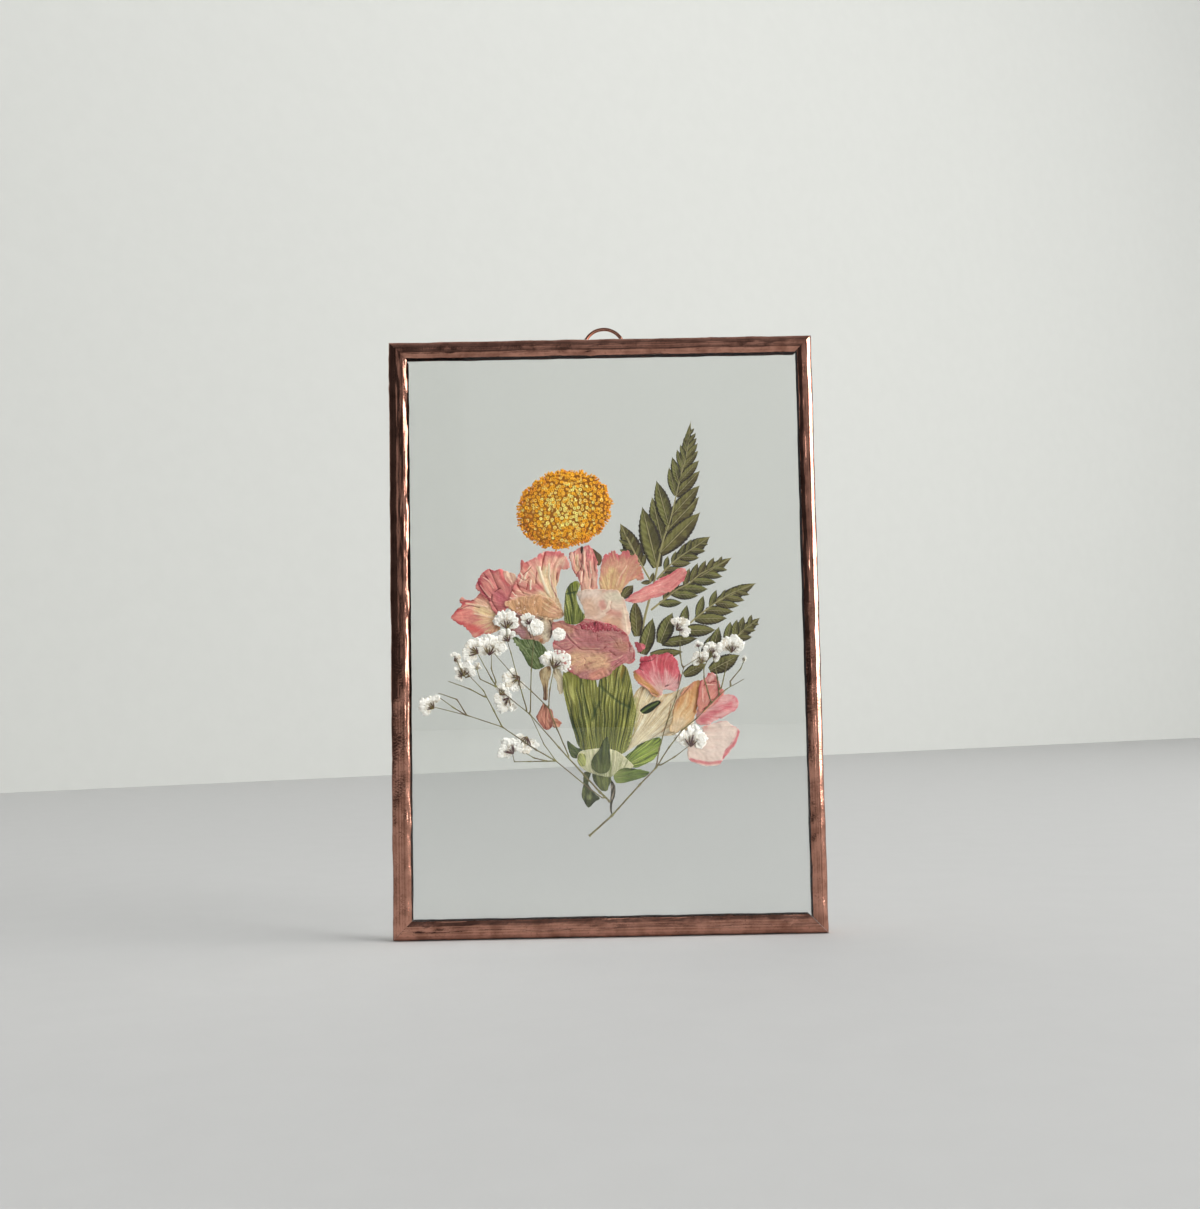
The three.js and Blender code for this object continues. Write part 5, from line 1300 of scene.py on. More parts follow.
# ---------------------------------------------------------------- baby's breath
# Stems, each from the one it grows on, and flowers as (x, z, width): open ones and full ones.
SPRIGS = {
    "sprig_left": dict(
        stems=[
            [(0.5, -50.5), (-2.5, -47.5), (-7, -42.5), (-14.5, -34), (-23, -24), (-29, -19), (-33, -15.5)],
            [(-11.5, -37), (-15, -28.5), (-17.5, -22), (-22.5, -17), (-28, -12), (-33.5, -5.5)],
            [(-1.5, -49.5), (-5.5, -46.5), (-15.5, -38), (-19, -33), (-23, -24)],
            [(-15.5, -38), (-23.5, -38), (-28, -38), (-28.5, -35.5)],
            [(-18, -38), (-22, -37), (-24.5, -35.5)],
            [(-15.5, -38), (-21.5, -34.5), (-31.5, -27.5), (-41.5, -24), (-52.5, -21)],
            [(-31.5, -27.5), (-34, -22.5), (-37, -16.5), (-42.5, -10.5)],
            [(-24, -22.5), (-26.5, -13.5), (-28.5, -5.5), (-29.5, -2)],
            [(-23, -23.5), (-22.5, -10.5), (-21.5, -1.5)],
            [(-33, -15.5), (-38, -13), (-39, -9.5)],
            [(-36.5, -18.5), (-41, -16), (-47.5, -13.5)],
            [(-42, -24), (-45, -19), (-50.5, -17)],
            [(-42, -24), (-46, -21.5), (-50, -18.5)],
            [(-33, -15.5), (-34.5, -13), (-38.5, -5.5)],
            [(-33, -14.5), (-34.5, -10), (-34.5, -5.5)],
            [(-17.5, -22), (-17, -16.5), (-15.5, -9.5)],
            [(-42, -13), (-43.5, -10.5), (-45, -7)],
        ],
        florets=[(-54, -20, 5.4), (-41, -4, 6), (-35, -2.5, 7), (-42.5, -9.5, 5.4), (-44.5, -6.5, 3.2),
                 (-30.5, 0, 4.8), (-29.5, 5, 6.2), (-28.5, -14, 6), (-30.5, -16.5, 4.4), (-31, -21, 5.4),
                 (-30, -33.3, 6), (-25, -33.3, 6), (-23.6, 5, 4), (-14.5, -7, 7.4), (-44.5, -12.5, 2.6),
                 (-39, -9, 2.6)],
        balls=[(-21, 2.3, 5.4), (-14, 0, 4.4)]),
    "sprig_right": dict(
        stems=[
            [(-6, -60.5), (1, -54.5), (9.5, -45.5), (14.5, -40.5), (15.5, -35), (18, -27), (21, -19.5),
             (23.5, -10.5), (28.5, -7.5)],
            [(14.5, -40.5), (18.5, -34.5), (22.5, -29.5), (27, -26), (31.5, -21.5), (36, -17.5),
            (41.5, -14.5)], [(37, -15.5), (40.5, -11.5), (42, -8.5)],
            [(15.5, -40), (20, -37.5), (25.5, -33.5)],
            [(23, -10.5), (22.5, -7), (22.5, 1)],
            [(31.5, -21.5), (29.5, -14), (29.5, -11), (32, -6)],
            [(34, -19.5), (33.5, -14), (32, -6)],
            [(34.5, -17.5), (36.5, -10), (38, -5)],
        ],
        florets=[(25.6, -31, 7.4), (23.5, 2, 5.2), (32, -4.5, 4.4), (28, -7.5, 4.6), (38, -3.5, 6),
                 (28, -3.5, 2.4), (33.5, -7.5, 2.4), (42, -8.5, 1.8)]),
}


STEM_STEP = 0.5     # between the points of a stem
SEPALS = 5          # under each open flower
BALL_TURN = 2.4     # angle from each petal of a full flower to the next


def crumpled_petal():
    """A small notched petal from (0, 0) to (1, 0), crumpled as it dried."""
    petal, along, across = grid_master("crumpled_petal", 8, 6)
    half = 0.1 + 0.36 * np.sin(math.pi * np.clip(along * 0.86, 0, 1)) ** 0.9
    crumple = 0.14 * np.sin(7 * across + 5 * along) + 0.12 * np.sin(11 * along - 3 * across)
    points = np.stack([along * (1 - 0.13 * np.exp(-(across / 0.3) ** 2) * along ** 3), across * half,
                       crumple * (0.25 + along)], axis=1)
    set_coordinates(petal.data, points)
    set_attribute(petal, "along", along)
    return petal


def sepal_master():
    """A narrow folded sepal from (0, 0) to (1, 0)."""
    sepal, along, across = grid_master("sepal_master", 5, 2)
    half = 0.02 + 0.05 * np.sin(math.pi * np.clip(along * 1.02, 0, 1)) ** 0.8
    points = np.stack([along, across * half, 0.1 * (1 - np.abs(across)) + 0.04], axis=1)
    set_coordinates(sepal.data, points)
    set_attribute(sepal, "along", along)
    return sepal


def straight_line(points, spacing):
    """Points an even distance apart on straight lines between the given points, and how near each
    is to a joint of the stem."""
    knots = np.array(points, float)
    run = np.concatenate([[0], np.cumsum(np.linalg.norm(np.diff(knots, axis=0), axis=1))])
    stops = np.linspace(0, run[-1], max(3, round(run[-1] / spacing)))
    line = np.stack([np.interp(stops, run, knots[:, k]) for k in (0, 1)], axis=1)
    joint = np.exp(-(np.min(np.abs(stops[:, None] - run[None, :-1]), axis=1) / 0.45) ** 2)
    return line, joint


def flower_matrix(x, z, heading, length, depth, flat, roll=0.0):
    """Places a master that points along +X at (x, z), turned in the plane of the glass."""
    turn = Matrix((
        (math.cos(heading), 0, math.sin(heading), 0),
        (0, 1, 0, 0),
        (math.sin(heading), 0, -math.cos(heading), 0),
        (0, 0, 0, 1)))
    up = Matrix(((1, 0, 0, 0), (0, 0, -flat, 0), (0, 1, 0, 0), (0, 0, 0, 1)))
    return (Matrix.Translation(metres(x, depth, z)) @ turn @ up @ Matrix.Rotation(roll, 4, "X")
            @ Matrix.Scale(length * MM, 4))


def sprig_stems(sprig, depth, thick, thin):
    """Lines of the branched stem as ([(x, z, width), ...], depth), and all their points."""
    lines, known = [], np.zeros((0, 2))
    for number, stem in enumerate(sprig["stems"]):
        line, joint = straight_line(stem, STEM_STEP)
        if number:
            line[0] = known[np.argmin(np.linalg.norm(known - line[0], axis=1))]
        line[1:-1, 0] += 0.07 * noise_field(line[1:-1] / 2, number)
        widths = np.linspace(thick * (1 if number == 0 else 0.7), thin, len(line)) * (1 + 0.7 * joint)
        lines.append(([(x, z, w) for (x, z), w in zip(line, widths)], depth + 0.02 * (number % 3)))
        known = np.vstack([known, line])
    return lines, known


def open_flower(spot, across, aim, depth, chance):
    """A flower seen from the side: sepals and a fan of petals from its foot, and the petals' tones."""
    foot = np.array(spot) - 0.5 * across * np.array([math.cos(aim), math.sin(aim)])
    petals, sepals, tones = [], [], []
    for blade in range(SEPALS):
        fan = aim + (blade / (SEPALS - 1) - 0.5) * 1.5 + chance.uniform(-0.12, 0.12)
        sepals.append(flower_matrix(*foot, fan, across * chance.uniform(0.36, 0.52), depth - 0.04, 0.5))
    blades = round(across * 5)
    for blade in range(blades):
        fan = aim + (blade / (blades - 1) - 0.5) * 2.3 + chance.uniform(-0.15, 0.15)
        ring = chance.random()
        root = foot + across * (0.1 + 0.35 * ring) * np.array([math.cos(fan), math.sin(fan)])
        reach = across * chance.uniform(0.36, 0.5) * (1.1 - 0.25 * abs(fan - aim))
        layer = depth + 0.1 + 0.4 * (1 - ring)
        flat = min(0.4, 0.9 / reach)
        petals.append(flower_matrix(*root, fan, reach, layer, flat, chance.uniform(-0.7, 0.7)))
        tones.append(chance.random())
    return petals, sepals, tones


def full_flower(spot, across, depth, chance):
    """A flower seen from the front as a ball of petals, and the petals' tones."""
    petals, tones = [], []
    blades = round(across * 10)
    for blade in range(blades):
        fan = blade * BALL_TURN
        ring = math.sqrt((blade + 0.5) / blades)
        out = across * (0.38 * ring - 0.12)
        root = np.array(spot) + out * np.array([math.cos(fan), math.sin(fan)])
        layer = depth - 0.08 + 0.14 * ring
        reach = across * (0.34 - 0.1 * ring)
        petals.append(flower_matrix(*root, fan, reach, layer, 0.4, chance.uniform(-0.8, 0.8)))
        tones.append(chance.random() * 0.6)
    return petals, tones


def make_sprigs(settings):
    petal, sepal = crumpled_petal(), sepal_master()
    petal_look, sepal_look, stem_look = sprig_finishes(settings)
    depth = FRONT_LAYER_DEPTH
    thick, thin = settings.stem / MM, settings.twig / MM
    for node, sprig in SPRIGS.items():
        chance = random.Random(len(sprig["florets"]))
        lines, known = sprig_stems(sprig, depth, thick, thin)
        petals, sepals, tones = [], [], []
        for x, z, across in sprig["florets"]:
            nearest = known[np.argmin(np.linalg.norm(known - np.array([x, z]), axis=1))]
            aim = math.atan2(z - nearest[1], x - nearest[0]) + chance.uniform(-0.25, 0.25)
            foot = np.array([x, z]) - 0.5 * across * np.array([math.cos(aim), math.sin(aim)])
            twig = np.linspace(nearest, foot, 4)
            lines.append(([(px, pz, thin * 0.9) for px, pz in twig], depth + 0.04))
            made = open_flower((x, z), across, aim, depth, chance)
            petals += made[0]
            sepals += made[1]
            tones += made[2]
        for x, z, across in sprig.get("balls", ()):
            made = full_flower((x, z), across, depth, chance)
            petals += made[0]
            tones += made[1]
        stems = ribbon_tube(node + "_stems", lines, STEM_FLATNESS["sprig"])
        face_outwards(stems)
        complete(stems, stem_look, "sprig", node)
        blooms = repeated(node + "_petals", petal.data, petals, {"tone": tones})
        press(blooms)
        apply_modifier(blooms, "SOLIDIFY", thickness=0.04 * MM, offset=0)
        bracts = repeated(node + "_sepals", sepal.data, sepals, {"tone": np.zeros(len(sepals))})
        press(bracts)
        apply_modifier(bracts, "SOLIDIFY", thickness=0.06 * MM, offset=0)
        for piece, look in ((blooms, petal_look), (bracts, sepal_look)):
            keep_between_panes(piece)
            face_outwards(piece)
            complete(piece, look, "sprig")
    for master in (petal, sepal):
        bpy.data.objects.remove(master)


class PRESSED_OT_sprigs(Making, bpy.types.Operator):
    """Model the stems and small white flowers"""
    bl_idname = "pressed.sprigs"
    bl_label = "Baby's breath"

    def execute(self, context):
        make_sprigs(context.scene.pressed_sprigs)
        return {"FINISHED"}


def press(piece):
    """Squeezes what comes near a pane against it, without flattening it to one plane."""
    points = coordinates(piece.data)
    soft = 0.3 * MM
    knee = (HALF_GAP - SQUEEZE_ROOM) * MM - soft
    away = points[:, 1] - MIDDLE.y
    past = np.maximum(np.abs(away) - knee, 0)
    squeezed = np.minimum(np.abs(away), knee) + soft * (1 - np.exp(-past / soft))
    points[:, 1] = MIDDLE.y + np.sign(away) * squeezed
    set_coordinates(piece.data, points)


def keep_between_panes(piece):
    """Cuts off what would reach into a pane."""
    points = coordinates(piece.data)
    limit = (HALF_GAP - LEAST_ROOM) * MM
    points[:, 1] = np.clip(points[:, 1], MIDDLE.y - limit, MIDDLE.y + limit)
    set_coordinates(piece.data, points)


def sprig_finishes(settings):
    petal = Finish("sprig_petal_finish", Roughness=0.75, IOR=1.4)
    crumple = petal.noise(petal.place(), 1500, 3)
    colour = petal.mix(petal.span(crumple, 0.5, 0.72, 0, 0.35), tuple(settings.white), srgb(222, 208, 180))
    colour = petal.mix(petal.span(petal.attribute("along"), 0.3, 0.0, 0, 0.6), colour, srgb(178, 158, 120))
    colour = petal.mix(petal.span(petal.attribute("tone"), 0.85, 1.0, 0, 0.5), colour, srgb(206, 184, 146))
    petal.use("Base Color", colour)
    petal.bump(crumple, 0.5, 0.1)
    cup = Finish("sprig_calyx_finish", Roughness=0.7, IOR=1.4)
    shade = cup.noise(cup.place(), 700, 2)
    cup.use("Base Color", cup.mix(cup.span(shade, 0.45, 0.62), tuple(settings.maroon), srgb(112, 96, 52)))
    cup.bump(shade, 0.4, 0.06)
    stem = Finish("sprig_stem_finish", Roughness=0.6, IOR=1.42)
    patch = stem.noise(stem.place(), 240, 3)
    tone = stem.mix(stem.span(patch, 0.35, 0.65), tuple(settings.green), srgb(96, 76, 48))
    fleck = stem.span(stem.noise(stem.place(), 1500, 2), 0.45, 0.7, 0, 0.5)
    tone = stem.mix(fleck, tone, srgb(150, 146, 96))
    stem.use("Base Color", tone)
    stem.bump(patch, 0.3, 0.05)
    return petal.material, cup.material, stem.material


# ---------------------------------------------------------------- rim
# node: (middle of the outer edge, direction along the bar, direction inwards, length, face width)
RIM_BARS = {
    "rim_top": ((0, FRAME_HALF_HEIGHT), (1, 0), (0, -1), 2 * FRAME_HALF_WIDTH, 5.2),
    "rim_right": ((FRAME_HALF_WIDTH, 0), (0, -1), (-1, 0), 2 * FRAME_HALF_HEIGHT, 4.6),
    "rim_bottom": ((0, -FRAME_HALF_HEIGHT), (-1, 0), (0, 1), 2 * FRAME_HALF_WIDTH, 5.7),
    "rim_left": ((-FRAME_HALF_WIDTH, 0), (0, 1), (1, 0), 2 * FRAME_HALF_HEIGHT, 5.8),
}
# Where the foil ends overlap: (distance along the bar from its middle, slant).
SEAMS = {"rim_top": [(18, 0.8), (32, -0.5)], "rim_right": [(-12, 0.3), (58, 0.2)],
         "rim_bottom": [(0.5, 0.1), (-42, 0.6)], "rim_left": [(-19, 0.3), (10, -0.2)]}
# Blobs of solder: (distance along the bar, distance in from the edge, size, height).
BLOBS = {"rim_top": [(-3, 4.9, 1.4, 0.42), (-40, 2.2, 0.8, 0.12), (55, 2.6, 1.6, 0.2), (59, 1.4, 1.0, 0.2)],
         "rim_right": [(-84, 2.4, 1.4, 0.16), (84, 2.3, 1.6, 0.25), (80, 3.3, 0.9, 0.2), (60, 2, 1.2, 0.12)],
         "rim_bottom": [(-56, 2.6, 1.5, 0.2), (-52, 3.4, 0.8, 0.2), (58, 3, 1.4, 0.12)],
         "rim_left": [(84, 2.6, 1.3, 0.15), (-19, 2.6, 1.6, 0.15), (-86, 3, 1.4, 0.16)]}
# Crumpled places in the foil: (distance along the bar, half length).
CRUMPLES = {"rim_top": [(-21, 4), (-8, 4), (-48, 3), (47, 2), (33, 2.5)],
            "rim_right": [(-72, 4), (68, 14), (0, 3)],
            "rim_bottom": [(-57, 5), (0, 8)], "rim_left": [(80, 6), (-19, 2), (-60, 8), (40, 4)]}
# Lengthwise folds of the foil: (distance in from the edge, drift, height).
FOLDS = {"rim_top": [(3.5, 0.5, 0.1), (1.3, 0.4, 0.05)], "rim_right": [(1.6, 0.5, 0.08), (3.1, 0.5, 0.05)],
         "rim_bottom": [(2.6, 0.9, 0.09), (4.3, 0.5, 0.06)],
         "rim_left": [(4.3, 0.35, 0.07), (2.0, 0.7, 0.05)]}
RIM_STEP = 0.42                            # length of one step of a bar
CRUMPLE_HEIGHT, FOLD_HALF_WIDTH = 0.1, 0.16
SEAM_HEIGHT, SEAM_GROOVE, SEAM_FADE = 0.09, 0.1, 7
FOIL_SETTLING = 0.1                        # the whole foil lies this much lower, inside the CAD box
MITRE_GAP = 0.04


def rim_section(face):
    """Closed section of the rim, [distance in, depth], front first: rounded shoulders, a nearly flat
    face, a slot for each pane and the fold of foil between the panes."""
    flat, wall, lip, tongue = 3.46, 1.12, GLASS_FRONT + 0.03, HALF_GAP - SHEET_ROOM
    turns = np.linspace(0, math.pi / 2, 9)
    bevel = np.linspace(0, 1, 9)
    slope, shoulder = face * 0.32, face * 0.4
    inner = [(face - slope * t ** 1.1, lip + (flat - lip) * math.sin(t * math.pi / 2)) for t in bevel]
    level = [(u, flat) for u in np.linspace(face - slope, shoulder, 8)[1:-1]]
    outer = [(shoulder * (1 - math.sin(t)), 2 + (flat - 2) * math.cos(t)) for t in turns]
    side = [(0.0, y) for y in np.linspace(2, 0, 5)[1:]]
    front = inner + level + outer + side
    slot = [(wall, lip - 0.02), (wall, tongue), (face - 0.75, tongue)]
    return ([(u, -y) for u, y in front] + [(u, y) for u, y in reversed(front[:-1])]
            + slot + [(u, -y) for u, y in reversed(slot)])


def drawn_bar(name, section, length):
    """A straight bar, extruded along X from its section and cut into short steps."""
    bpy.ops.object.select_all(action="DESELECT")
    bpy.ops.mesh.primitive_circle_add(vertices=len(section), radius=1, fill_type="NGON")
    bar = take_active(name)
    set_coordinates(bar.data, [(-length / 2, y, u) for u, y in section])
    bpy.ops.object.mode_set(mode="EDIT")
    bpy.ops.mesh.select_mode(type="FACE")
    bpy.ops.mesh.select_all(action="SELECT")
    bpy.ops.mesh.extrude_region_move(TRANSFORM_OT_translate={"value": (length, 0, 0)})
    bpy.ops.mesh.select_all(action="DESELECT")
    bpy.ops.mesh.select_mode(type="EDGE")
    shape = bmesh.from_edit_mesh(bar.data)
    for edge in shape.edges:
        if abs(edge.verts[0].co.x - edge.verts[1].co.x) > length / 2:
            edge.select_set(True)
    bmesh.update_edit_mesh(bar.data)
    bpy.ops.mesh.subdivide(number_cuts=round(length / RIM_STEP))
    bpy.ops.object.mode_set(mode="OBJECT")
    face_outwards(bar)
    return bar


def foil_noise(s, y, u, lengths, seed):
    """Noise on the foil whose features have these lengths along, through and across the bar."""
    return noise_field(np.stack([s / lengths[0], y / lengths[1], u / lengths[2]], 1), seed)


def foil_relief(node, settings, seed, s, y, u):
    """Height of the foil over its plain section, at `s` along the bar, `y` deep and `u` in."""
    raised = settings.lump / MM * foil_noise(s, y, u, (9, 3, 3), seed)
    warp = 1.6 * foil_noise(s, y, u, (5, 4, 4), seed + 70)
    wrinkled = ridged(foil_noise(s, y, u + warp, (5, 1.5, 1.3), seed + 20))
    raised += settings.wrinkle / MM * np.clip(wrinkled, -1, 1)
    crumpled = ridged(foil_noise(s, y, u, (1.7, 1.2, 1.2), seed + 30))
    rough = np.clip(0.5 + 2.2 * foil_noise(s, y, u, (13, 9, 9), seed + 50), 0.15, 1)
    raised += settings.pit / MM * crumpled * rough
    front = y < 0
    sharp = ridged(foil_noise(s, y, u, (0.9, 2, 2), seed + 60))
    for place, reach in CRUMPLES[node]:
        near = np.exp(-((s - place) / reach) ** 4) * front
        raised += CRUMPLE_HEIGHT * near * sharp
    for line_u, drift, height in FOLDS[node]:
        track = line_u + drift * noise_field(np.stack([s / 16, s * 0], 1), seed + line_u)
        raised += height * np.exp(-((u - track) / FOLD_HALF_WIDTH) ** 2) * (y < -GLASS_FRONT)
    for place, slant in SEAMS[node]:
        ragged = noise_field(np.stack([u / 0.8, y / 0.8], 1), seed + place)
        past = s - place - slant * (u - 2.5) - 0.6 * ragged
        raised += SEAM_HEIGHT / (1 + np.exp(-past / 0.1)) * np.exp(-np.maximum(past, 0) / SEAM_FADE)
        raised -= SEAM_GROOVE * np.exp(-(past / 0.2) ** 2)
    for place, inset, size, height in BLOBS[node]:
        away = np.hypot(s - place, u - inset) / size
        raised += height * np.exp(-away ** 2) * front
    return raised - FOIL_SETTLING


def make_rim(settings):
    finish = copper_finish(settings)
    for seed, node in enumerate(RIM_BARS, 1):
        rim_bar(node, settings, finish, seed)


class PRESSED_OT_rim(Making, bpy.types.Operator):
    """Model the four wrinkled copper bars"""
    bl_idname = "pressed.rim"
    bl_label = "Copper rim"

    def execute(self, context):
        make_rim(context.scene.pressed_rim)
        return {"FINISHED"}


def rim_bar(node, settings, finish, seed):
    """One bar: its section is drawn out, wrinkled, mitred and laid in its place."""
    (x0, z0), along, inwards, length, face = RIM_BARS[node]
    section = rim_section(face)
    bar = drawn_bar(node + "_foil", section, length)
    points = coordinates(bar.data)
    normals = np.zeros(len(points) * 3, np.float32)
    bar.data.vertices.foreach_get("normal", normals)
    normals = normals.reshape(-1, 3).astype(float)
    s, y, u = points[:, 0].copy(), points[:, 1].copy(), points[:, 2].copy()
    corners = np.array(section)
    run = np.concatenate([[0], np.cumsum(np.linalg.norm(np.diff(corners, axis=0), axis=1))])
    nearest = [int(np.argmin(np.hypot(corners[:, 0] - a, corners[:, 1] - b))) for a, b in zip(u, y)]
    arc = run[nearest]
    outside = (np.abs(y) > GLASS_FRONT + 0.02) | (u < 1.1)
    raised = foil_relief(node, settings, seed, s, y, u)
    points[:, 1:] += normals[:, 1:] * (raised * outside)[:, None]
    over_glass = np.sign(y) * np.maximum(np.abs(points[:, 1]), GLASS_FRONT + 0.01)
    depth = np.where(outside & (u > 1.1), over_glass, points[:, 1])
    depth = np.clip(depth, -RIM_HALF_DEPTH, RIM_HALF_DEPTH)
    u = np.maximum(points[:, 2], 0.0)
    along_bar = s * (1 - 2 * (u + MITRE_GAP) / length)
    flat = np.array([x0, z0]) + along_bar[:, None] * np.array(along) + u[:, None] * np.array(inwards)
    set_coordinates(bar.data, metres(flat[:, 0], depth, flat[:, 1]))
    set_uv(bar, np.stack([s / 10, arc / 10], axis=1))
    face_outwards(bar)
    complete(bar, finish, "copper", node)
    only(bar)
    bpy.ops.object.shade_smooth_by_angle(angle=math.radians(50))


def copper_finish(settings):
    finish = Finish("copper_foil_finish", Metallic=1.0)
    along = finish.scaled(finish.place("UV"), (0.25, 1.9, 1))
    streak = finish.noise(along, 5, 5)
    crease = finish.ridges(along, 7, 4)
    patch = finish.noise(finish.place(), 230, 5)
    grain = finish.noise(finish.place(), 1700, 3)
    clouded = finish.sum(patch, streak)
    tarnished = finish.span(clouded, 0.85, 1.25, 0, 0.6)
    colour = finish.mix(tarnished, tuple(settings.colour), tuple(settings.tarnish))
    colour = finish.mix(finish.span(crease, 0.86, 1.0, 0, 0.35), colour, srgb(52, 26, 20))
    colour = finish.mix(finish.span(grain, 0.56, 0.72, 0, 0.5), colour, tuple(settings.tarnish))
    finish.use("Base Color", colour)
    finish.use("Roughness", finish.span(streak, 0.3, 0.75, 0.05, 0.18))
    finish.bump(finish.sum(streak, finish.product(grain, 1.2),
                           finish.product(crease, 0.2)), 0.3, 0.08)
    return finish.material


WIRE_RADIUS, ARCH_RADIUS, FOOT_LENGTH = 0.55, 6.25, 1.6
PAD_HALF_SIZE, PAD_DROP, PAD_BEHIND = (2.2, 0.6, 1.5), 1.1, 0.07
LOOP_TOP = 6.8  # from the middle of the arch to the top of the loop


def loop_wire(centre):
    """The wire is spun round from its section, and its feet are drawn down."""
    bpy.ops.object.select_all(action="DESELECT")
    bpy.ops.mesh.primitive_circle_add(vertices=20, radius=WIRE_RADIUS * MM, fill_type="NGON",
                                      location=centre - Vector((ARCH_RADIUS * MM, 0, 0)))
    loop = take_active("hanging_loop_wire")
    bpy.ops.object.transform_apply(location=True, rotation=True, scale=True)
    bpy.ops.object.mode_set(mode="EDIT")
    bpy.ops.mesh.select_mode(type="FACE")
    bpy.ops.mesh.select_all(action="SELECT")
    bpy.ops.mesh.extrude_region_move(TRANSFORM_OT_translate={"value": (0, 0, 0.0001 * MM)})
    bpy.ops.mesh.spin(steps=44, angle=-math.pi, center=centre, axis=(0, 1, 0))
    bpy.ops.mesh.extrude_region_move(TRANSFORM_OT_translate={"value": (0, 0, -FOOT_LENGTH * MM)})
    bpy.ops.mesh.select_all(action="DESELECT")
    shape = bmesh.from_edit_mesh(loop.data)
    for corner in shape.verts:
        if corner.co.x < centre.x and corner.co.z < centre.z + 0.01 * MM:
            corner.co.z -= FOOT_LENGTH * MM
    bmesh.ops.remove_doubles(shape, verts=shape.verts, dist=WELD)
    bmesh.update_edit_mesh(loop.data)
    bpy.ops.object.mode_set(mode="OBJECT")
    return loop


def solder_pad(spot):
    """A small uneven lump of solder."""
    bpy.ops.object.select_all(action="DESELECT")
    bpy.ops.mesh.primitive_uv_sphere_add(segments=40, ring_count=24, radius=1, location=spot)
    pad = bpy.context.object
    pad.scale = Vector(PAD_HALF_SIZE) * MM
    bpy.ops.object.transform_apply(location=True, rotation=True, scale=True)
    points = coordinates(pad.data)
    middle = points.mean(0)
    wobble = np.array([noise.noise(Vector(p) / (1.1 * MM)) for p in points])
    set_coordinates(pad.data, middle + (points - middle) * (0.9 + 0.1 * wobble)[:, None])
    return pad


def make_loop():
    node = "hanging_loop"
    low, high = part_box(node)
    centre = Vector(((low.x + high.x) / 2, 0, high.z - LOOP_TOP * MM))
    loop = loop_wire(centre)
    feet = [Vector((side * ARCH_RADIUS, PAD_BEHIND, -PAD_DROP)) * MM for side in (-1, 1)]
    join(loop, *[solder_pad(centre + foot) for foot in feet])
    points = coordinates(loop.data)
    swing = np.array([noise.noise(Vector(p) / (2.2 * MM)) for p in points])
    points += (0.03 * MM * swing)[:, None] * np.array([1, 0, 1])
    set_coordinates(loop.data, np.minimum(np.maximum(points, np.array(low)), np.array(high)))
    face_outwards(loop)
    set_uv(loop, coordinates(loop.data)[:, [0, 2]] / (10 * MM))
    complete(loop, bpy.data.materials["copper_foil_finish"], "copper", node)


class PRESSED_OT_loop(Making, bpy.types.Operator):
    """Model the wire loop and its solder"""
    bl_idname = "pressed.loop"
    bl_label = "Hanging loop"

    def execute(self, context):
        make_loop()
        return {"FINISHED"}


def make_glass(settings):
    """Clear panes. They let light through without a shadow, so that the flowers between them are lit."""
    finish = Finish("clear_glass_finish", Roughness=0.0, Transmission_Weight=1.0, IOR=settings.ior)
    finish.shader.inputs["Base Color"].default_value = tuple(settings.tint)
    smear = finish.noise(finish.scaled(finish.place(), (1, 1, 0.4)), 30, 3)
    finish.use("Roughness", finish.span(smear, 0.55, 0.85, 0.0, 0.015))
    for name in ("front_pane", "back_pane"):
        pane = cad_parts[name]
        pane.data.materials.clear()
        pane.data.materials.append(finish.material)
        pane.visible_shadow = False


class PRESSED_OT_glass(Making, bpy.types.Operator):
    """Give the two panes their glass"""
    bl_idname = "pressed.glass"
    bl_label = "Glass panes"

    def execute(self, context):
        make_glass(context.scene.pressed_glass)
        return {"FINISHED"}


# ---------------------------------------------------------------- stage
CAMERA_SPOT = MIDDLE + Vector((-3.2, -423.55, -21.6)) * MM
CAMERA_YAW, CAMERA_PITCH, CAMERA_ROLL = -0.24, 4.12, 1.08
FLOOR_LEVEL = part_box("rim_bottom")[0].z
# Places on the stage are in metres in the row frame, and the wall stands behind the frame.
WALL_LEFT, WALL_RIGHT = Vector((-0.544, 0.841)), Vector((0.95, 1.79))
WALL_PAST_LEFT, WALL_PAST_RIGHT, WALL_HEIGHT, FLOOR_REACH = 0.7, 3, 4, 4
# Cards that are seen only in the shine of the copper, by the window and at the camera:
# (name, place, width, height, power).
SHINE_CARDS = [("window_card", (1.46, -1.36, 0.1), 1.2, 2.6, 75),
               ("room_card", (0.25, -1.6, -0.1), 0.9, 1.6, 1.3)]
WINDOW_SIDE = (0.6, 0.6, 0.4)  # where the room is brightest
SENSOR_WIDTH = 36


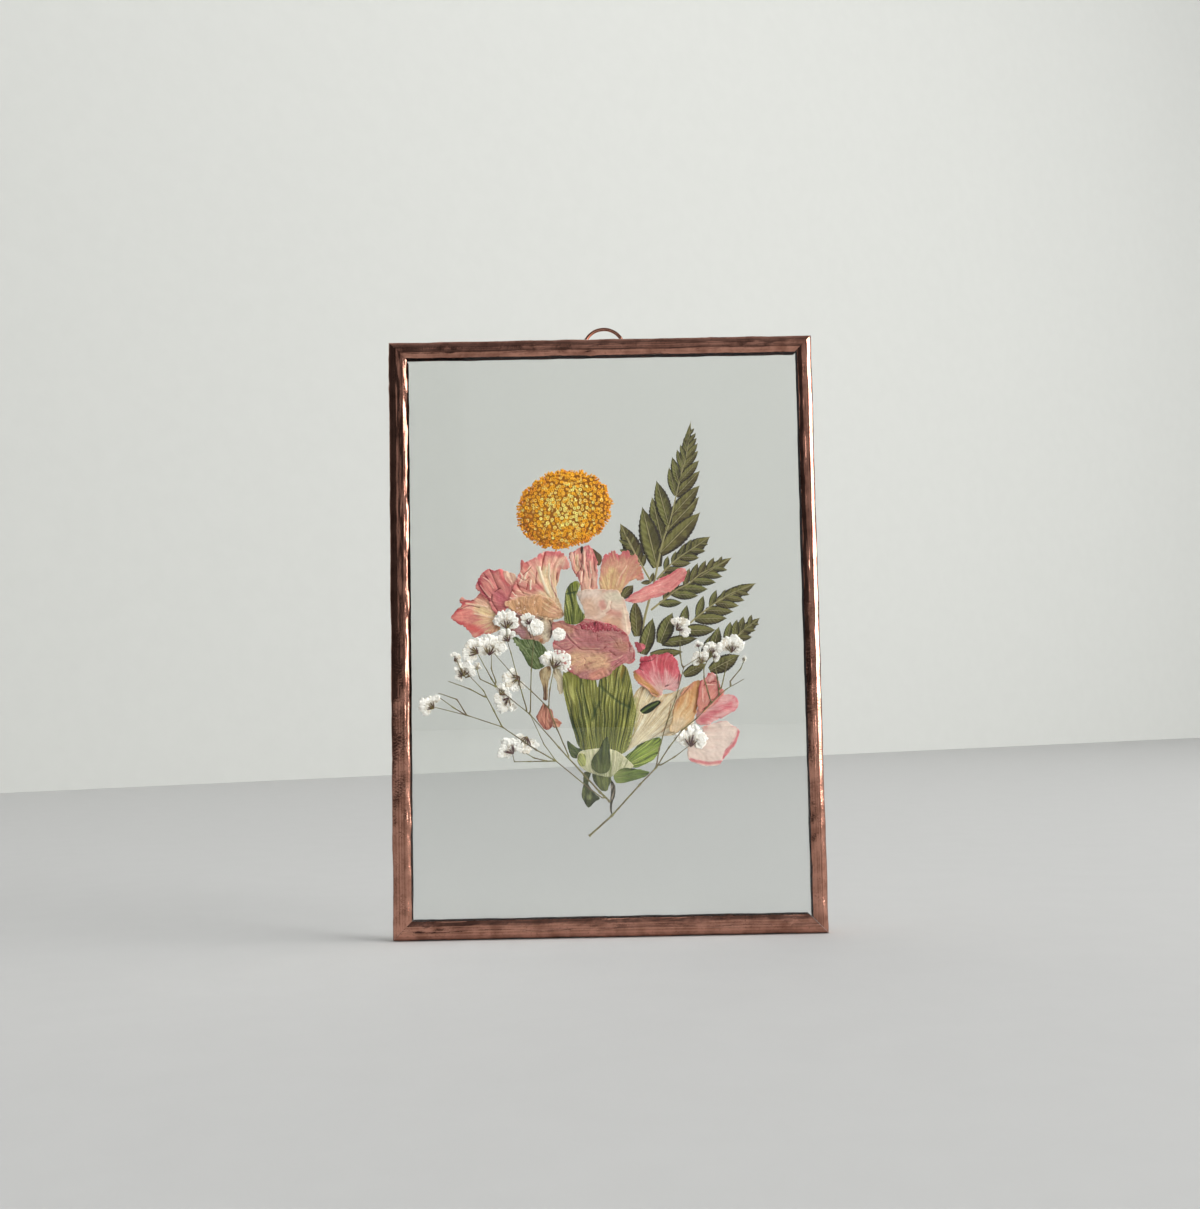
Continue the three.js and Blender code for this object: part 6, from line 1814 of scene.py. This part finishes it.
def make_stage(settings):
    stage_camera(settings)
    wall_run = (WALL_RIGHT - WALL_LEFT).normalized()
    left, right = WALL_LEFT - wall_run * WALL_PAST_LEFT, WALL_RIGHT + wall_run * WALL_PAST_RIGHT
    low, high, near = FLOOR_LEVEL - 0.0001, FLOOR_LEVEL + WALL_HEIGHT, -FLOOR_REACH
    floor = new_piece("floor", [(*left, low), (*right, low), (right.x, near, low), (left.x, near, low)],
                      [(0, 1, 2, 3)])
    wall = new_piece("wall", [(*left, low), (*right, low), (*right, high), (*left, high)], [(0, 3, 2, 1)])
    for piece, colour in ((floor, settings.floor), (wall, settings.wall)):
        piece.data.materials.append(stage_finish(piece.name + "_finish", tuple(colour)))
    add_lamp("window_light", (2.3, -0.75, 0.75), (0.0, 0.0, -0.1), 1.7, 1.9, settings.key)
    ceiling = add_lamp("ceiling_light", (-0.2, 0.1, 2.3), (-0.1, 0.2, -0.18), 2.4, 2.4, settings.key * 0.5)
    ceiling.visible_glossy = False
    for name, spot, width, height, power in SHINE_CARDS:
        card = add_lamp(name, spot, (0, 0, -0.1), width, height, power)
        card.visible_diffuse = False
        card.visible_transmission = False
    world = bpy.data.worlds.new("room")
    world.use_nodes = True
    nodes, links = world.node_tree.nodes, world.node_tree.links
    direction = nodes.new("ShaderNodeTexCoord").outputs["Generated"]
    facing = nodes.new("ShaderNodeVectorMath")
    facing.operation = "DOT_PRODUCT"
    facing.inputs[1].default_value = WINDOW_SIDE
    brightness = nodes.new("ShaderNodeMapRange")
    for key, value in (("From Min", -0.6), ("From Max", 0.6), ("To Min", 0.07), ("To Max", 0.55)):
        brightness.inputs[key].default_value = value
    links.new(direction, facing.inputs[0])
    links.new(facing.outputs["Value"], brightness.inputs["Value"])
    background = nodes["Background"]
    background.inputs["Color"].default_value = srgb(232, 234, 238)
    links.new(brightness.outputs["Result"], background.inputs["Strength"])
    bpy.context.scene.world = world
    bpy.context.scene.view_settings.view_transform = "Standard"


class PRESSED_OT_stage(Making, bpy.types.Operator):
    """Add the floor, wall, lights and camera"""
    bl_idname = "pressed.stage"
    bl_label = "Stage and camera"

    def execute(self, context):
        make_stage(context.scene.pressed_stage)
        return {"FINISHED"}


def stage_camera(settings):
    data = bpy.data.cameras.new("camera")
    data.sensor_fit = "HORIZONTAL"
    data.sensor_width = SENSOR_WIDTH
    data.lens = SENSOR_WIDTH * settings.focal
    camera = bpy.data.objects.new("camera", data)
    bpy.context.scene.collection.objects.link(camera)
    yaw, pitch, roll = (Matrix.Rotation(math.radians(angle), 3, axis) for angle, axis in
                        ((CAMERA_YAW, "Z"), (CAMERA_PITCH, "X"), (CAMERA_ROLL, "Y")))
    turn = yaw @ pitch @ roll @ Matrix.Rotation(math.pi / 2, 3, "X")
    camera.matrix_world = Matrix.Translation(CAMERA_SPOT) @ turn.to_4x4()
    bpy.context.scene.camera = camera


def add_lamp(name, spot, target, width, height, power):
    """An area lamp at a spot, turned to a target."""
    data = bpy.data.lights.new(name, "AREA")
    data.shape = "RECTANGLE"
    data.size, data.size_y = width, height
    data.energy = power
    lamp = bpy.data.objects.new(name, data)
    bpy.context.scene.collection.objects.link(lamp)
    lamp.location = spot
    lamp.rotation_mode = "QUATERNION"
    lamp.rotation_quaternion = (Vector(target) - Vector(spot)).to_track_quat("-Z", "Y")
    return lamp


def stage_finish(name, colour):
    finish = Finish(name, Roughness=0.9)
    paint = finish.noise(finish.place(), 60, 4)
    darker = (*(0.94 * c for c in colour[:3]), 1.0)
    shade = finish.mix(finish.span(paint, 0.3, 0.7, 0, 0.25), colour, darker)
    finish.use("Base Color", shade)
    finish.bump(paint, 0.15, 1.0)
    return finish.material


# ---------------------------------------------------------------- add-on
OPERATORS = [
    PRESSED_OT_stage, PRESSED_OT_rim, PRESSED_OT_loop, PRESSED_OT_glass, PRESSED_OT_head,
    PRESSED_OT_fern, PRESSED_OT_petals, PRESSED_OT_greens, PRESSED_OT_sprigs,
]
SETTINGS = {"pressed_rim": RimSettings, "pressed_glass": GlassSettings, "pressed_head": HeadSettings,
            "pressed_fern": FernSettings, "pressed_petals": PetalSettings, "pressed_sprigs": SprigSettings,
            "pressed_stage": StageSettings}


class PRESSED_PT_panel(bpy.types.Panel):
    """Lists the pieces of the pressed flower frame and their settings."""
    bl_label = "Pressed Flower Frame"
    bl_idname = "PRESSED_PT_panel"
    bl_space_type = "VIEW_3D"
    bl_region_type = "UI"
    bl_category = "Pressed Flowers"

    def draw(self, context):
        for made in OPERATORS:
            self.layout.operator(made.bl_idname)
        for name, group in SETTINGS.items():
            box = self.layout.box()
            box.label(text=group.__name__.replace("Settings", ""))
            for key in group.__annotations__:
                box.prop(getattr(context.scene, name), key)


def register():
    for group in SETTINGS.values():
        bpy.utils.register_class(group)
    for name, group in SETTINGS.items():
        setattr(bpy.types.Scene, name, bpy.props.PointerProperty(type=group))
    for made in [*OPERATORS, PRESSED_PT_panel]:
        bpy.utils.register_class(made)


def unregister():
    for made in [PRESSED_PT_panel, *reversed(OPERATORS)]:
        bpy.utils.unregister_class(made)
    for name in SETTINGS:
        delattr(bpy.types.Scene, name)
    for group in reversed(SETTINGS.values()):
        bpy.utils.unregister_class(group)


def main():
    register()
    for made in OPERATORS:
        group, action = made.bl_idname.split(".")
        getattr(getattr(bpy.ops, group), action)()


if __name__ == "__main__":
    main()
